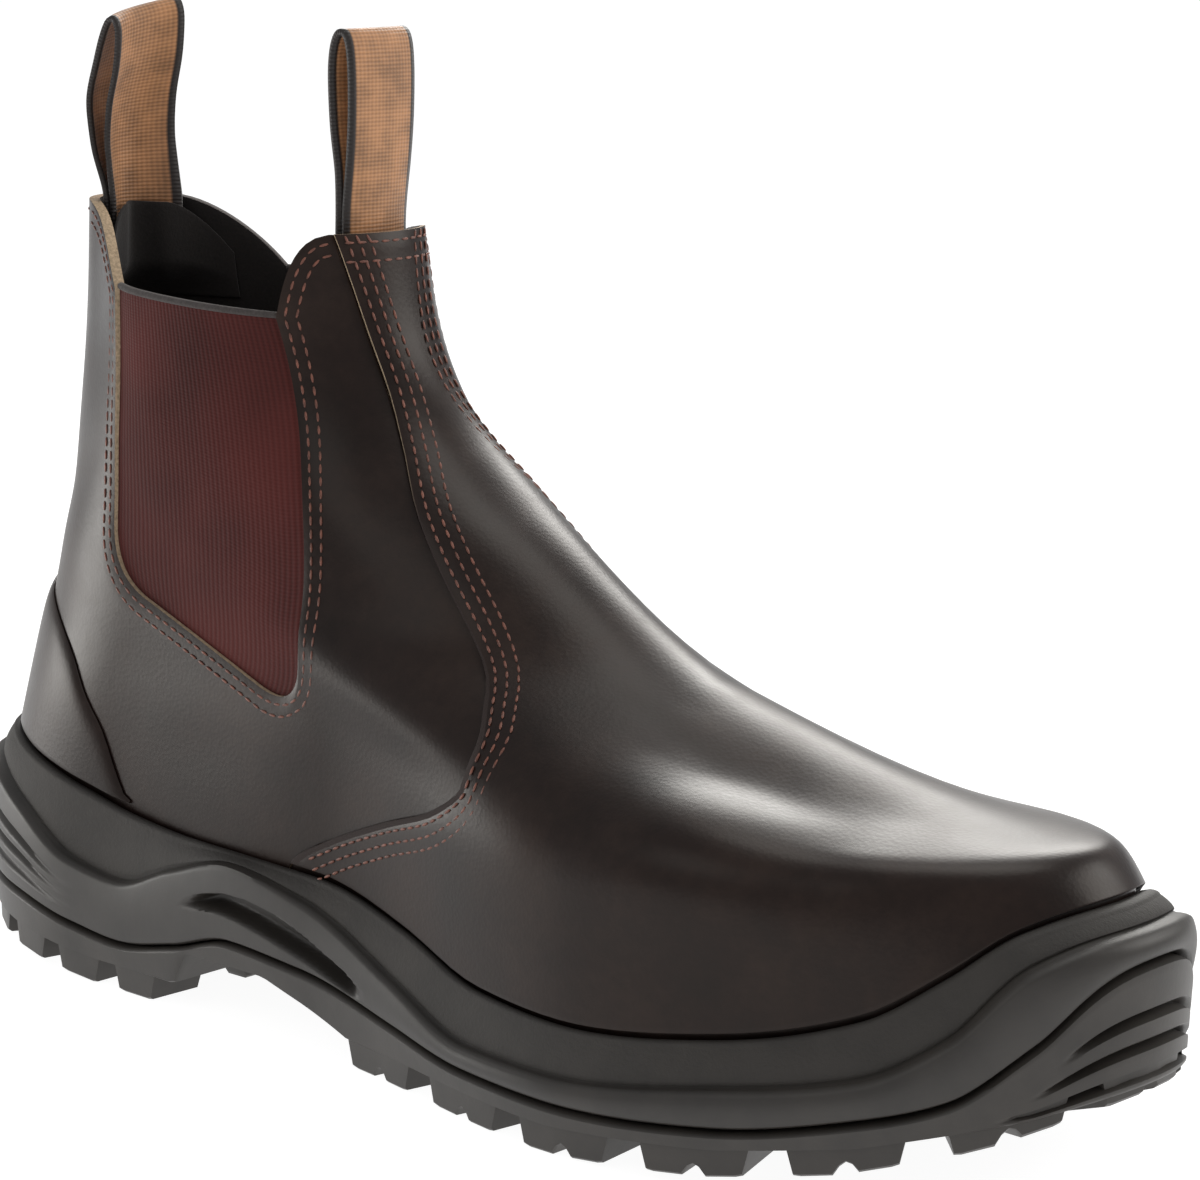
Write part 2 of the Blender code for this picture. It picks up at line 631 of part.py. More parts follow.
def overlay_solid(share, angle, lift):
    """Leather lying on the upper."""
    outer = upper_at(share, angle, np.full_like(share, lift + OVERLAY)).reshape(-1, 3)
    inner = upper_at(share, angle, np.full_like(share, lift)).reshape(-1, 3)
    return thick_sheet(outer, inner, grid_faces(*share.shape))


def counter_grid():
    """Share and angle grids of the heel counter from the rim up to its edge."""
    reach = place(COUNTER_EDGE["x"][-1], COUNTER_EDGE["z"][-1])[1]
    angle = np.linspace(-1, 1, 17) * float(reach)
    low, high = np.full(17, RIM_SHARE), np.full(17, 0.6)
    for _ in range(40):
        mid = (low + high) / 2
        p = surface(mid, angle)
        under = p[:, 2] < steady(COUNTER_EDGE["x"], COUNTER_EDGE["z"], p[:, 0])
        low = np.where(under, mid, low)
        high = np.where(under, high, mid)
    foot = RIM_SHARE + 0.006
    top = np.maximum(low, foot + 0.02)
    t = np.linspace(0, 1, 6)[:, None]
    return foot + (top[None] - foot) * t, angle[None] + 0 * t


def gore_solid(medial):
    """Elastic panel seated in the upper's notch."""
    edge = gore_path(GAP + GORE_EASE)
    loop = np.concatenate([edge, evenly(edge[[-1, 0]], 6)[1:-1]])
    centre = loop.mean(0)
    rings = [centre + (loop - centre) * f for f in (1.0, 0.72, 0.38)]
    points = np.concatenate(rings + [centre[None]])
    share, angle = place(points[:, 0], points[:, 1], medial)
    outer = upper_at(share, angle, np.full_like(share, -GORE_SUNK))
    inner = upper_at(share, angle, np.full_like(share, -GORE_SUNK - GORE_THICK))
    count = len(loop)
    faces = []
    for r in range(2):
        for c in range(count):
            d = (c + 1) % count
            faces.append((r * count + c, r * count + d, (r + 1) * count + d, (r + 1) * count + c))
    faces += [(2 * count + c, 2 * count + (c + 1) % count, 3 * count) for c in range(count)]
    return thick_sheet(outer, inner, faces)


def loop_solid(path, at_front):
    """Pull loop of folded tape with both legs inside the wall of the collar."""
    at_front = int(at_front)
    centre = math.pi * at_front
    angle = centre + np.linspace(-0.9, 0.9, 121)
    wall = upper_at(np.ones(121), angle, np.full(121, -LEATHER - 2.5 * GAP - TAPE_THICK / 2))
    order = np.argsort(wall[:, 1])
    seat, tilt = LOOP_SEAT["off"][at_front], LOOP_SEAT["tilt"][at_front]
    across = np.linspace(-TAPE_WIDTH / 2, TAPE_WIDTH / 2, 4)
    middle = float(wall[60, 1]) + seat
    y = across + middle
    wall_x = np.interp(y, wall[order, 1], wall[order, 0])
    mid_x = float(np.interp(middle, wall[order, 1], wall[order, 0]))
    inward = -1.0 if at_front else 1.0
    knots = np.concatenate([[0.0], np.cumsum(np.hypot(np.diff(path["inward"]), np.diff(path["height"])))])
    at = np.concatenate([knots[:1], np.linspace(knots[1], knots[-2], 19), knots[-1:]])
    reach, rise = steady(knots, path["inward"], at), steady(knots, path["height"], at)
    slope = np.column_stack([np.gradient(reach, at), np.gradient(rise, at)])
    slope /= np.linalg.norm(slope, axis=1)[:, None]
    side = np.column_stack([-slope[:, 1], slope[:, 0]]) * TAPE_THICK / 2
    collar = float(collar_z(mid_x))
    sheets = []
    for sign in (1, -1):
        r, h = reach + sign * side[:, 0], rise + sign * side[:, 1]
        follow = np.clip(1 - h / 60.0, 0, 1)[:, None]
        x = mid_x + inward * r[:, None] + (wall_x - mid_x)[None] * follow
        z = collar + h[:, None] + tilt * across[None] * np.clip(h / 40.0, 0, 1)[:, None]
        sheets.append(np.stack([x, y[None] + 0 * x, z], -1).reshape(-1, 3))
    return thick_sheet(sheets[0], sheets[1], grid_faces(len(at), len(y)))


def insole_rings():
    """Rings of the insole inside the foot of the upper."""
    rings = []
    for lift, share in ((GAP, 0.0), (INSOLE_THICK, 0.02)):
        wall = upper_at(np.full_like(ANGLES, share), ANGLES, np.full_like(ANGLES, -LEATHER - INSOLE_EASE))
        wall[:, 2] = line("floor", wall[:, 0]) + lift
        rings.append(wall)
    return rings


def main():
    """Build every node of the boot."""
    for obj in list(bpy.data.objects):
        bpy.data.objects.remove(obj)
    slab = build_mesh("slab", *ring_solid(outsole_rings()))
    blocks = build_mesh("blocks", *tread_blocks())
    add_node("outsole", joined(slab, blocks), (0.06, 0.058, 0.056), 0.7)
    add_node("midsole", build_mesh("midsole", *ring_solid(midsole_rings())), (0.05, 0.048, 0.046), 0.65)
    add_node("insole", build_mesh("insole", *ring_solid(insole_rings())), (0.03, 0.03, 0.032), 0.9)
    add_node("upper", build_mesh("upper", *upper_solid()), (0.045, 0.033, 0.027), 0.4)
    add_node("vamp", build_mesh("vamp", *overlay_solid(*vamp_grid(24, RIM_SHARE + 0.006), GAP)), (0.04, 0.028, 0.023), 0.38)
    add_node("heel_counter", build_mesh("heel_counter", *overlay_solid(*counter_grid(), GAP + COUNTER_EASE)), (0.045, 0.033, 0.027), 0.4)
    add_node("gore_lateral", build_mesh("gore_lateral", *gore_solid(False)), (0.085, 0.03, 0.025), 0.85)
    add_node("gore_medial", build_mesh("gore_medial", *gore_solid(True)), (0.085, 0.03, 0.025), 0.85)
    add_node("pull_loop_back", build_mesh("pull_loop_back", *loop_solid(LOOP_BACK, False)), (0.3, 0.14, 0.07), 0.8)
    add_node("pull_loop_front", build_mesh("pull_loop_front", *loop_solid(LOOP_FRONT, True)), (0.3, 0.14, 0.07), 0.8)


main()
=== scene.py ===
"""Dressed pull-on boot: leather panels, elastic gores, tape loops, stitching and moulded sole."""
import math

import bmesh
import bpy
import numpy as np
from mathutils import Matrix, Vector


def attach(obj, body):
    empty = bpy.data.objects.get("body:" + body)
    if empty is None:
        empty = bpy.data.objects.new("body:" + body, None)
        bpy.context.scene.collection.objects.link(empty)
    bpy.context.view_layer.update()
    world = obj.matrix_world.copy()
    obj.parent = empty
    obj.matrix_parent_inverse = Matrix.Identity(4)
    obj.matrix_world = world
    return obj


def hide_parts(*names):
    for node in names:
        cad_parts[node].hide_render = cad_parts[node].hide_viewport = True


bl_info = {
    "name": "Pull-on Boot",
    "version": (1, 0, 0),
    "blender": (4, 5, 0),
    "location": "3D View > Sidebar > Boot",
    "description": "Builds the looks of an elastic-sided pull-on boot over its solid frame",
    "category": "Object",
}

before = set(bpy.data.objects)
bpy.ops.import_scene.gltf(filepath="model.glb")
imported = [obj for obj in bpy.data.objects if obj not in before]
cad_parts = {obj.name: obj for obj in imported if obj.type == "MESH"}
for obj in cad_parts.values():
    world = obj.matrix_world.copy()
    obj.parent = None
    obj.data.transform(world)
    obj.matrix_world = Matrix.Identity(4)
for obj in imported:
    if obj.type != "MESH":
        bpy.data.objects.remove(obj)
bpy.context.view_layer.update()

# Sizes are in millimetres; x runs from the back of the heel, z from the ground, and -y is the outer side.
MM = 0.001
SOLE_LENGTH = 303.0
TAPE_WIDTH = 18.5

# Wall of the upper, lift of the overlays off it, and the thin sheets of overlay and elastic.
LEATHER = 2.2
OVERLAY = 1.5
SHEET = 1.1

# Share of the upper's height at the rim, the sole's edge beyond it, and how much more at heel and toe.
RIM_SHARE = 0.10
EDGE_OUT = 6.1
HEEL_FLARE = 0.475
TOE_FLARE = 0.869

# Midsole above and outsole below their parting line; depth, inset and root of the tread's lugs.
MIDSOLE_LIFT = 0.2
OUTSOLE_DROP = 0.15
LUG_DEPTH = 5.5
LUG_INSET = 1.2
ROOT = 1.2

# Grid cells for each stretch of a panel's edge, points round the sole, and a step that reads a slope.
FINE = 4
ROUND = 433
STEP = 1e-4

# A band of Blender's wave texture is 0.314 wide at scale one.
WAVE_BAND = 0.314

# Name, whether it is the inner side, and which way along y it faces.
SIDES = (("lateral", False, -1), ("medial", True, 1))

# Soft boxes: place and aim in metres, width and height in metres, watts.
LIGHTS = {
    "backdrop": ((-0.57, 0.985, 0.75), (0.10, 0.0, 0.06), (0.8, 0.46), 11.5),
    "right": ((0.76, 0.74, 0.66), (0.0, 0.0, 0.1), (0.8, 0.5), 5.5),
    "top": ((0.10, 0.25, 1.25), (0.05, 0.0, 0.08), (0.8, 0.5), 4.0),
    "left": ((-0.42, -0.17, 0.055), (-0.10, -0.03, 0.065), (0.22, 0.1), 0.4),
    "front": ((-0.10, -1.05, 0.98), (0.0, 0.0, 0.1), (0.8, 0.6), 1.4),
}

# Camera fitted to the photo: lens in millimetres, turn and rise in degrees, distance and aim in metres.
LENS = 112.4
TURN = 42.0
RISE = 11.2
DISTANCE = 0.7386
AIM = (0.0208, 0.0, 0.09475)


def table(names, rows):
    """Return the columns of a short table by name."""
    return dict(zip(names.split(), np.array(rows, float).T))


def rows_of(columns):
    """Rows of a short table, each in the order of its columns."""
    return zip(*columns.values())


SECTIONS = table(
    "share back_x back_z front_x front_z heel waist ball back_round front_round swing twist dome roll", [
        (0.00, 10.5, 27.0, 289.2, 34.0, 31.0, 30.5, 44.5, 0.16, 0.27, 1.00, 0.0, 0.0, 0.0),
        (0.10, 9.0, 48.0, 291.6, 54.0, 32.0, 32.0, 46.5, 0.16, 0.27, 1.00, 0.0, 0.0, 0.0),
        (0.20, 13.4, 61.2, 286.8, 59.1, 31.2, 32.0, 46.2, 0.16, 0.30, 1.00, 0.0, 19.5, 14.0),
        (0.30, 17.1, 73.9, 278.5, 60.7, 30.5, 32.0, 43.0, 0.17, 0.38, 0.90, 0.0, 12.3, 5.2),
        (0.40, 20.5, 84.5, 253.4, 63.9, 30.4, 32.0, 39.0, 0.19, 0.50, 0.80, 0.0, 9.6, -0.2),
        (0.50, 23.4, 94.3, 216.5, 73.6, 30.1, 31.8, 34.5, 0.22, 0.60, 0.60, 0.0, 6.2, -0.8),
        (0.60, 25.9, 104.0, 186.3, 85.0, 29.5, 31.3, 31.5, 0.27, 0.57, 0.40, 0.0, 3.4, 0.2),
        (0.70, 27.5, 114.7, 155.6, 105.0, 28.5, 30.5, 30.0, 0.36, 0.52, 0.25, 0.8, 1.3, 0.0),
        (0.80, 28.9, 127.3, 135.0, 119.5, 26.8, 29.8, 29.0, 0.46, 0.47, 0.10, 1.8, 0.0, 0.0),
        (0.90, 29.9, 143.0, 121.3, 138.0, 24.4, 29.2, 28.5, 0.56, 0.42, 0.00, 2.6, 0.0, 0.0),
        (1.00, 30.8, 164.5, 114.6, 161.5, 22.5, 28.8, 28.5, 0.62, 0.38, 0.00, 3.2, 0.0, 0.0),
    ])
WIDTH_STATIONS = np.array([0.0, 0.14, 0.42, 0.72, 1.0])
TOE_WIDTH = 0.95
LINES = table(
    "share floor rim step parting pocket", [
        (0.00, 27.0, 48.0, 42.0, 16.0, 0.0),
        (0.06, 27.0, 47.5, 41.0, 16.0, 0.0),
        (0.12, 26.5, 44.5, 35.0, 15.0, 0.0),
        (0.18, 26.0, 41.0, 26.0, 12.0, 0.0),
        (0.23, 25.5, 38.0, 24.0, 10.5, 0.0),
        (0.29, 24.0, 36.4, 30.0, 13.5, 0.0),
        (0.35, 22.0, 36.0, 34.5, 18.0, 3.5),
        (0.42, 20.0, 35.5, 31.0, 16.5, 3.5),
        (0.52, 17.0, 30.5, 20.8, 12.0, 0.0),
        (0.60, 15.5, 24.8, 14.5, 9.5, 0.0),
        (0.68, 15.5, 24.0, 14.8, 9.5, 0.0),
        (0.79, 16.5, 27.2, 19.0, 11.4, 0.0),
        (0.87, 20.0, 33.5, 23.8, 16.2, 0.0),
        (0.91, 23.0, 42.0, 32.0, 20.6, 0.0),
        (0.94, 26.0, 50.0, 45.0, 31.0, 0.0),
        (0.965, 29.5, 53.3, 50.0, 44.5, 0.0),
        (1.00, 34.0, 54.5, 51.3, 47.0, 0.0),
    ])
TREAD = table(
    "share base", [
        (0.00, 11.0), (0.06, 9.0), (0.13, 7.2), (0.20, 5.5), (0.292, 5.5), (0.306, 13.0),
        (0.385, 13.0), (0.47, 5.5), (0.68, 5.5), (0.79, 7.8), (0.87, 11.5), (0.94, 17.5), (1.00, 26.0),
    ])
SWING = table("share shift", [(0.0, 0.0), (0.2, -0.5), (0.42, -3.0), (0.66, -1.0), (0.85, 3.5), (1.0, 6.0)])
GORE = table(
    "x z corner", [
        (60.0, 148.0, 0.0), (61.5, 88.0, 12.0), (124.0, 66.5, 16.0), (119.5, 102.0, 12.0),
        (104.4, 145.0, 0.0),
    ])
SHOULDER = table("top_x bend_x", [(38.5, 49.0), (110.5, 105.5)])
VAMP_EDGE = table(
    "z x", [
        (15.0, 108.0), (37.7, 121.0), (43.5, 131.5), (51.0, 150.0), (56.8, 166.5), (63.0, 174.8),
        (69.9, 175.8), (77.4, 171.0), (85.4, 162.0), (96.7, 150.2), (114.4, 134.4), (125.2, 126.3),
        (140.4, 118.0), (154.7, 113.1), (162.0, 111.0),
    ])
COUNTER_EDGE = table(
    "x z", [
        (14.0, 84.0), (26.0, 80.5), (36.0, 76.5), (47.5, 68.4), (53.5, 60.2), (59.0, 53.7), (63.0, 46.2),
        (66.0, 41.3), (68.0, 39.5),
    ])
LOOP_BACK = table(
    "inward height", [
        (0.0, -13.0), (0.0, 0.0), (-2.6, 11.0), (-2.8, 20.0), (0.6, 30.5), (4.2, 38.5), (6.4, 41.0),
        (8.0, 39.0), (6.6, 30.5), (3.2, 20.0), (2.0, 11.0), (1.9, 0.0), (1.9, -13.0),
    ])
LOOP_FRONT = table(
    "inward height", [
        (0.0, -13.0), (0.0, 0.0), (-0.6, 12.0), (-1.2, 24.0), (-1.4, 33.0), (-0.8, 39.2), (0.8, 41.2),
        (2.8, 39.0), (3.8, 32.0), (3.6, 22.0), (2.4, 11.0), (1.9, 0.0), (1.9, -13.0),
    ])
LOOP_SEAT = table("off tilt", [(1.0, 0.2), (1.2, 0.0)])
TOE_LUGS = table(
    "centre run", [
        (0.0, 22.0), (30.0, 19.0), (59.0, 19.0), (88.0, 19.0), (117.0, 19.0), (146.0, 19.0), (175.0, 18.0),
    ])
HEEL_LUGS = table(
    "centre run", [(0.0, 11.0), (18.5, 10.5), (37.0, 10.5), (55.5, 10.5), (74.0, 10.5), (92.5, 10.0)])
FORE_BARS = table("x half", [(142.0, 12.0), (166.0, 17.0), (190.0, 21.0), (214.0, 21.0), (238.0, 18.0)])
HEEL_BARS = table("x half", [(31.0, 9.0), (48.0, 14.0), (64.0, 14.0), (80.0, 14.0)])
ARCH_POCKET = table(
    "x low high", [
        (91.7, 23.4, 23.4), (98.0, 23.9, 27.2), (105.0, 24.0, 28.7), (112.0, 23.1, 28.8),
        (120.0, 21.4, 27.7), (128.0, 19.4, 25.2), (135.0, 17.4, 22.7), (142.0, 15.5, 20.4),
        (146.8, 14.4, 18.2), (148.4, 15.2, 15.2),
    ])
HEEL_RIBS = table("middle half", [(0.24, 0.075), (0.46, 0.075), (0.68, 0.075)])
TOE_SLASHES = table("middle half reach", [(0.38, 0.055, 0.26), (0.63, 0.055, 0.32), (0.87, 0.055, 0.39)])
STEP_ROLL = table("out lift", [(-0.7, -0.55), (-1.15, -0.15), (-1.7, 0.05), (-2.25, 0.1), (-2.55, 0.35)])
RIM_ROLL = table("out lift", [(-4.0, -0.65), (-4.2, -0.35), (-4.55, -0.1), (-4.95, 0.0), (-5.35, -0.15)])
SHANK_BARS = table("x half", [(98.0, 14.0), (105.0, 14.0), (112.0, 14.0)])

# Distances of the stitch rows from the edge that they follow.
VAMP_ROWS = (2.0, 4.3, 6.6)
GORE_ROWS = (1.8, 4.2)
COLLAR_ROWS = (1.7, 5.6)
BACK_ROW = 2.0

# Soft troughs and ridges of the leather: middle, half run, spread and depth in millimetres.
CREASES = table(
    "x y z run_x run_y run_z spread depth", [
        (206.0, -14.0, 74.0, 3.0, 20.0, 2.0, 4.5, 0.55),
        (196.0, 10.0, 78.0, -4.0, 18.0, 0.0, 5.0, 0.45),
        (216.0, 2.0, 73.5, 2.0, 15.0, 0.0, 4.0, -0.4),
        (228.0, -38.0, 58.0, 30.0, 5.0, -3.0, 13.0, -4.0),
        (222.0, -18.0, 67.5, 26.0, 5.0, -6.0, 9.0, 1.7),
        (240.0, -18.0, 66.0, 10.0, 5.0, -2.0, 5.0, 0.35),
        (252.0, -8.0, 66.0, 8.0, -5.0, -1.0, 5.0, 0.3),
        (132.0, -20.0, 112.0, 10.0, -8.0, -10.0, 6.0, 0.5),
        (150.0, -4.0, 108.5, 2.0, 14.0, 0.0, 6.5, 0.5),
        (119.0, 6.0, 140.0, -2.0, 12.0, 3.0, 6.0, 0.4),
        (140.0, 24.0, 94.0, 12.0, 6.0, -8.0, 6.0, 0.5),
        (44.0, -26.0, 110.0, 8.0, -2.0, 6.0, 6.0, 0.35),
        (96.0, -33.0, 56.0, 24.0, 0.0, -3.0, 8.0, 0.4),
    ])


def ease(t):
    """Smooth step from nothing to one."""
    t = np.clip(t, 0, 1)
    return t * t * (3 - 2 * t)


def smooth_dip(at, middle, half):
    """Rounded groove: one in the middle, nothing beyond its half width."""
    return np.cos(np.clip((at - middle) / half, -1, 1) * math.pi / 2) ** 2


def unit(vectors):
    """Vectors of length one."""
    return vectors / np.linalg.norm(vectors, axis=-1)[..., None]


def travel(path):
    """Distance along a path at each of its points."""
    return np.concatenate([[0.0], np.cumsum(np.linalg.norm(np.diff(path, axis=0), axis=1))])


def steady(knots, values, at):
    """Monotone smooth curve through a table column."""
    step = np.diff(knots)
    rise = np.diff(values) / step
    slope = np.concatenate([rise[:1], np.zeros(len(rise) - 1), rise[-1:]])
    for i in range(1, len(rise)):
        if rise[i - 1] * rise[i] > 0:
            a = 2 * step[i] + step[i - 1]
            b = step[i] + 2 * step[i - 1]
            slope[i] = (a + b) / (a / rise[i - 1] + b / rise[i])
    at = np.clip(at, knots[0], knots[-1])
    i = np.clip(np.searchsorted(knots, at, side="right") - 1, 0, len(step) - 1)
    t = (at - knots[i]) / step[i]
    start = values[i] * (1 + 2 * t) * (1 - t) ** 2 + step[i] * slope[i] * t * (1 - t) ** 2
    return start + values[i + 1] * t * t * (3 - 2 * t) + step[i] * slope[i + 1] * t * t * (t - 1)


def bends(knots, rows):
    """Second slopes of the natural cubic through rows of values."""
    step = np.diff(knots)
    left = np.eye(len(knots))
    right = np.zeros_like(rows)
    for i in range(1, len(knots) - 1):
        left[i, i - 1:i + 2] = (step[i - 1], 2 * (step[i - 1] + step[i]), step[i])
        right[i] = 6 * ((rows[i + 1] - rows[i]) / step[i] - (rows[i] - rows[i - 1]) / step[i - 1])
    return np.linalg.solve(left, right)


def between(share, rows):
    """Value between section rows at each point's share of the height, straight below the rim."""
    knots = SECTIONS["share"]
    i = np.clip(np.searchsorted(knots, share, side="right") - 1, 0, len(knots) - 2)
    run = knots[i + 1] - knots[i]
    a = (knots[i + 1] - share) / run
    b = 1 - a
    bend = np.concatenate([0 * rows[:1], bends(knots[1:], rows[1:])])
    n = np.arange(len(share))
    flat = a * rows[i, n] + b * rows[i + 1, n]
    return flat + ((a ** 3 - a) * bend[i, n] + (b ** 3 - b) * bend[i + 1, n]) * run * run / 6


def line(name, x):
    """Height of a line along the side of the sole."""
    return steady(LINES["share"], LINES[name], np.asarray(x) / SOLE_LENGTH)


def tread(x):
    """Height of the tread base."""
    return np.interp(np.asarray(x) / SOLE_LENGTH, TREAD["share"], TREAD["base"])


def swing(x):
    """Sideways swing of the foot's centre line."""
    return steady(SWING["share"], SWING["shift"], np.asarray(x) / SOLE_LENGTH)


def section_loops(angle):
    """Points of every section at the given angles, heel 0, outer side first, toe at pi."""
    run = (1 - np.cos(angle)) / 2
    side = -np.sign(np.sin(angle))
    xs, ys, zs = [], [], []
    for k in range(len(SECTIONS["share"])):
        row = {name: column[k] for name, column in SECTIONS.items()}
        x = row["back_x"] + run * (row["front_x"] - row["back_x"])
        widths = np.array([row["heel"], row["heel"], row["waist"], row["ball"], row["ball"] * TOE_WIDTH])
        width = steady(WIDTH_STATIONS, widths, run)
        width = width * np.sqrt(1 - (1 - np.minimum(run / row["back_round"], 1)) ** 2)
        width = width * np.sqrt(1 - (1 - np.minimum((1 - run) / row["front_round"], 1)) ** 2)
        height = row["back_z"] + run * (row["front_z"] - row["back_z"])
        fall = 4 * run * (1 - run) * ease((run - 0.4) / 0.3)
        height = height - np.where(side > 0, row["dome"], row["roll"]) * fall
        if k < 2:
            height = line(("floor", "rim")[k], x)
        xs.append(x)
        ys.append(swing(x) * row["swing"] - row["twist"] * (1 - run) ** 2 + side * width)
        zs.append(height)
    return np.array(xs), np.array(ys), np.array(zs)


def surface(share, angle):
    """Outer face of the upper."""
    share, angle = np.broadcast_arrays(np.asarray(share, float), np.asarray(angle, float))
    rows = section_loops(angle.ravel())
    points = [between(share.ravel(), r) for r in rows]
    return np.stack(points, -1).reshape(share.shape + (3,))


def slopes(share, angle):
    """Steps of the upper's face for a unit of share and of angle, and its outward normal."""
    low = np.clip(share - STEP, 0, 1)
    high = np.clip(share + STEP, 0, 1)
    up = (surface(high, angle) - surface(low, angle)) / (high - low)[..., None]
    across = (surface(share, angle + STEP) - surface(share, angle - STEP)) / (2 * STEP)
    return up, across, unit(np.cross(across, up))


def upper_at(share, angle, out):
    """Point standing off the upper's outer face by a distance."""
    share, angle, out = np.broadcast_arrays(*(np.asarray(v, float) for v in (share, angle, out)))
    return surface(share, angle) + slopes(share, angle)[2] * out[..., None]


def place(x, z, medial=False):
    """Share and angle of the surface point seen at x, z from the side."""
    x, z = np.broadcast_arrays(np.asarray(x, float), np.asarray(z, float))
    shape = x.shape
    x, z = x.ravel(), z.ravel()
    low, high = np.zeros(len(x)), np.ones(len(x))
    one = np.ones((1, len(x)))
    for _ in range(40):
        share = (low + high) / 2
        back = between(share, SECTIONS["back_x"][:, None] * one)
        front = between(share, SECTIONS["front_x"][:, None] * one)
        run = np.clip((x - back) / (front - back), 0, 1)
        run = np.where(run < 1e-8, 0.0, run)
        angle = np.arccos(1 - 2 * run)
        below = surface(share, angle)[:, 2] < z
        low = np.where(below, share, low)
        high = np.where(below, high, share)
    if medial:
        angle = 2 * math.pi - angle
    return share.reshape(shape), angle.reshape(shape)


def outline(angle, out):
    """Plan of the sole at a distance out from the rim of the upper."""
    share = np.full_like(angle, RIM_SHARE)
    along = surface(share, angle + STEP) - surface(share, angle - STEP)
    normal = unit(np.stack([along[:, 1], -along[:, 0]], -1))
    run = (1 - np.cos(angle)) / 2
    flare = 1 + HEEL_FLARE * (1 - run) ** 4 + TOE_FLARE * run ** 8
    return surface(share, angle)[:, :2] + normal * (flare * out)[..., None]


def rim_x(angle):
    """Length position of the upper's rim at each angle."""
    return surface(np.full_like(angle, RIM_SHARE), angle)[:, 0]


def middle_row(x, height):
    """Row of points along the foot's centre line."""
    return np.column_stack([x, swing(x), height])


EDGE_Y = outline(np.linspace(0, 2 * math.pi, 721), EDGE_OUT)[:, 1]
SHIFT = np.array([-SOLE_LENGTH / 2, -(EDGE_Y.min() + EDGE_Y.max()) / 2, 0.0])


def relief(points):
    """Lift of the leather over its creases and its gentle unevenness of about a tenth of a millimetre."""
    x, y, z = np.moveaxis(points, -1, 0)
    lift = 0.12 * np.sin(x / 13.0 + 0.7) * np.sin(z / 11.0 + y / 17.0)
    for i in range(len(CREASES["x"])):
        row = {name: column[i] for name, column in CREASES.items()}
        middle = np.array([row["x"], row["y"], row["z"]])
        run = np.array([row["run_x"], row["run_y"], row["run_z"]])
        along = np.clip(((points - middle) @ run) / (run @ run), -1, 1)
        away = np.linalg.norm(points - middle - along[..., None] * run, axis=-1)
        fade = np.cos(along * math.pi / 2) ** 2 * 0.75 + 0.25
        lift -= row["depth"] * fade * np.exp(-(away / row["spread"]) ** 2)
    return lift


def rounded(corners, inset, steps):
    """Corners of a panel in the side view with its rounded ones as arcs, drawn in by an inset."""
    x, z, size = corners["x"], corners["z"], corners["corner"]
    path = []
    for i in range(len(x)):
        here = np.array([x[i], z[i]])
        if size[i] == 0:
            path.append(here)
            continue
        back = np.array([x[i - 1], z[i - 1]]) - here
        ahead = np.array([x[(i + 1) % len(x)], z[(i + 1) % len(x)]]) - here
        a = here + unit(back) * size[i]
        b = here + unit(ahead) * size[i]
        for t in np.linspace(0, 1, steps + 1):
            path.append((1 - t) ** 2 * a + 2 * t * (1 - t) * here + t * t * b)
    path = np.array(path)
    along = unit(np.roll(path, -1, 0) - np.roll(path, 1, 0))
    return path + np.column_stack([-along[:, 1], along[:, 0]]) * inset


def evenly(path, count):
    """Points spaced evenly along a path."""
    path = np.asarray(path)
    run = travel(path)
    at = np.linspace(0, run[-1], count)
    return np.column_stack([np.interp(at, run, path[:, k]) for k in range(path.shape[1])])


def chain(parts):
    """Paths joined end to end."""
    return np.concatenate([parts[0]] + [part[1:] for part in parts[1:]])


def gore_sides(inset):
    """Edge of the gore as rear side, lower side and front side, from the top rear corner round."""
    arc = 4 * FINE
    edge = rounded(GORE, inset, arc)
    one, two, three = (edge[1 + k * (arc + 1):1 + (k + 1) * (arc + 1)] for k in range(3))
    rear = [evenly(edge[:2], 8 * FINE + 1), one]
    low = [evenly([one[-1], two[0]], 6 * FINE + 1), two]
    front = [evenly([two[-1], three[0]], FINE + 1), three, evenly(edge[-2:], 4 * FINE + 1)]
    return chain(rear), chain(low), chain(front)


def collar_z(x):
    """Height of the collar line."""
    back, front = SECTIONS["back_x"][-1], SECTIONS["front_x"][-1]
    run = (np.asarray(x) - back) / (front - back)
    return SECTIONS["back_z"][-1] + run * (SECTIONS["front_z"][-1] - SECTIONS["back_z"][-1])


def shoulder(which, count):
    """Rounded shoulder of the collar from its top down to the gore."""
    corner = (0, -1)[which]
    low = np.array([GORE["x"][corner], GORE["z"][corner]])
    top = np.array([SHOULDER["top_x"][which], float(collar_z(SHOULDER["top_x"][which]))])
    bend = np.array([SHOULDER["bend_x"][which], top[1] - 1.0])
    t = np.linspace(0, 1, 33)[:, None]
    return evenly((1 - t) ** 2 * top + 2 * t * (1 - t) * bend + t * t * low, count)


VAMP_TOP = np.array([VAMP_EDGE["x"][-1], float(collar_z(VAMP_EDGE["x"][-1]))])
VAMP_Z = np.array([
    15.5, 27.0, 38.0, 43.0, 47.5, 52.0, 57.0, 62.5, 70.0, 78.0, 88.0, 100.0, 114.0, 130.0, 147.0,
    VAMP_TOP[1]])


def vamp_edge():
    """Rear edge of the vamp in the side view, from the feather edge up to the collar."""
    steps = (len(VAMP_Z) - 1) * FINE
    z = np.interp(np.arange(steps + 1) / FINE, np.arange(len(VAMP_Z)), VAMP_Z)
    edge = np.column_stack([steady(VAMP_EDGE["z"], VAMP_EDGE["x"], z), z])
    edge[0, 1] = float(line("floor", edge[0, 0]))
    edge[-1] = VAMP_TOP
    return edge


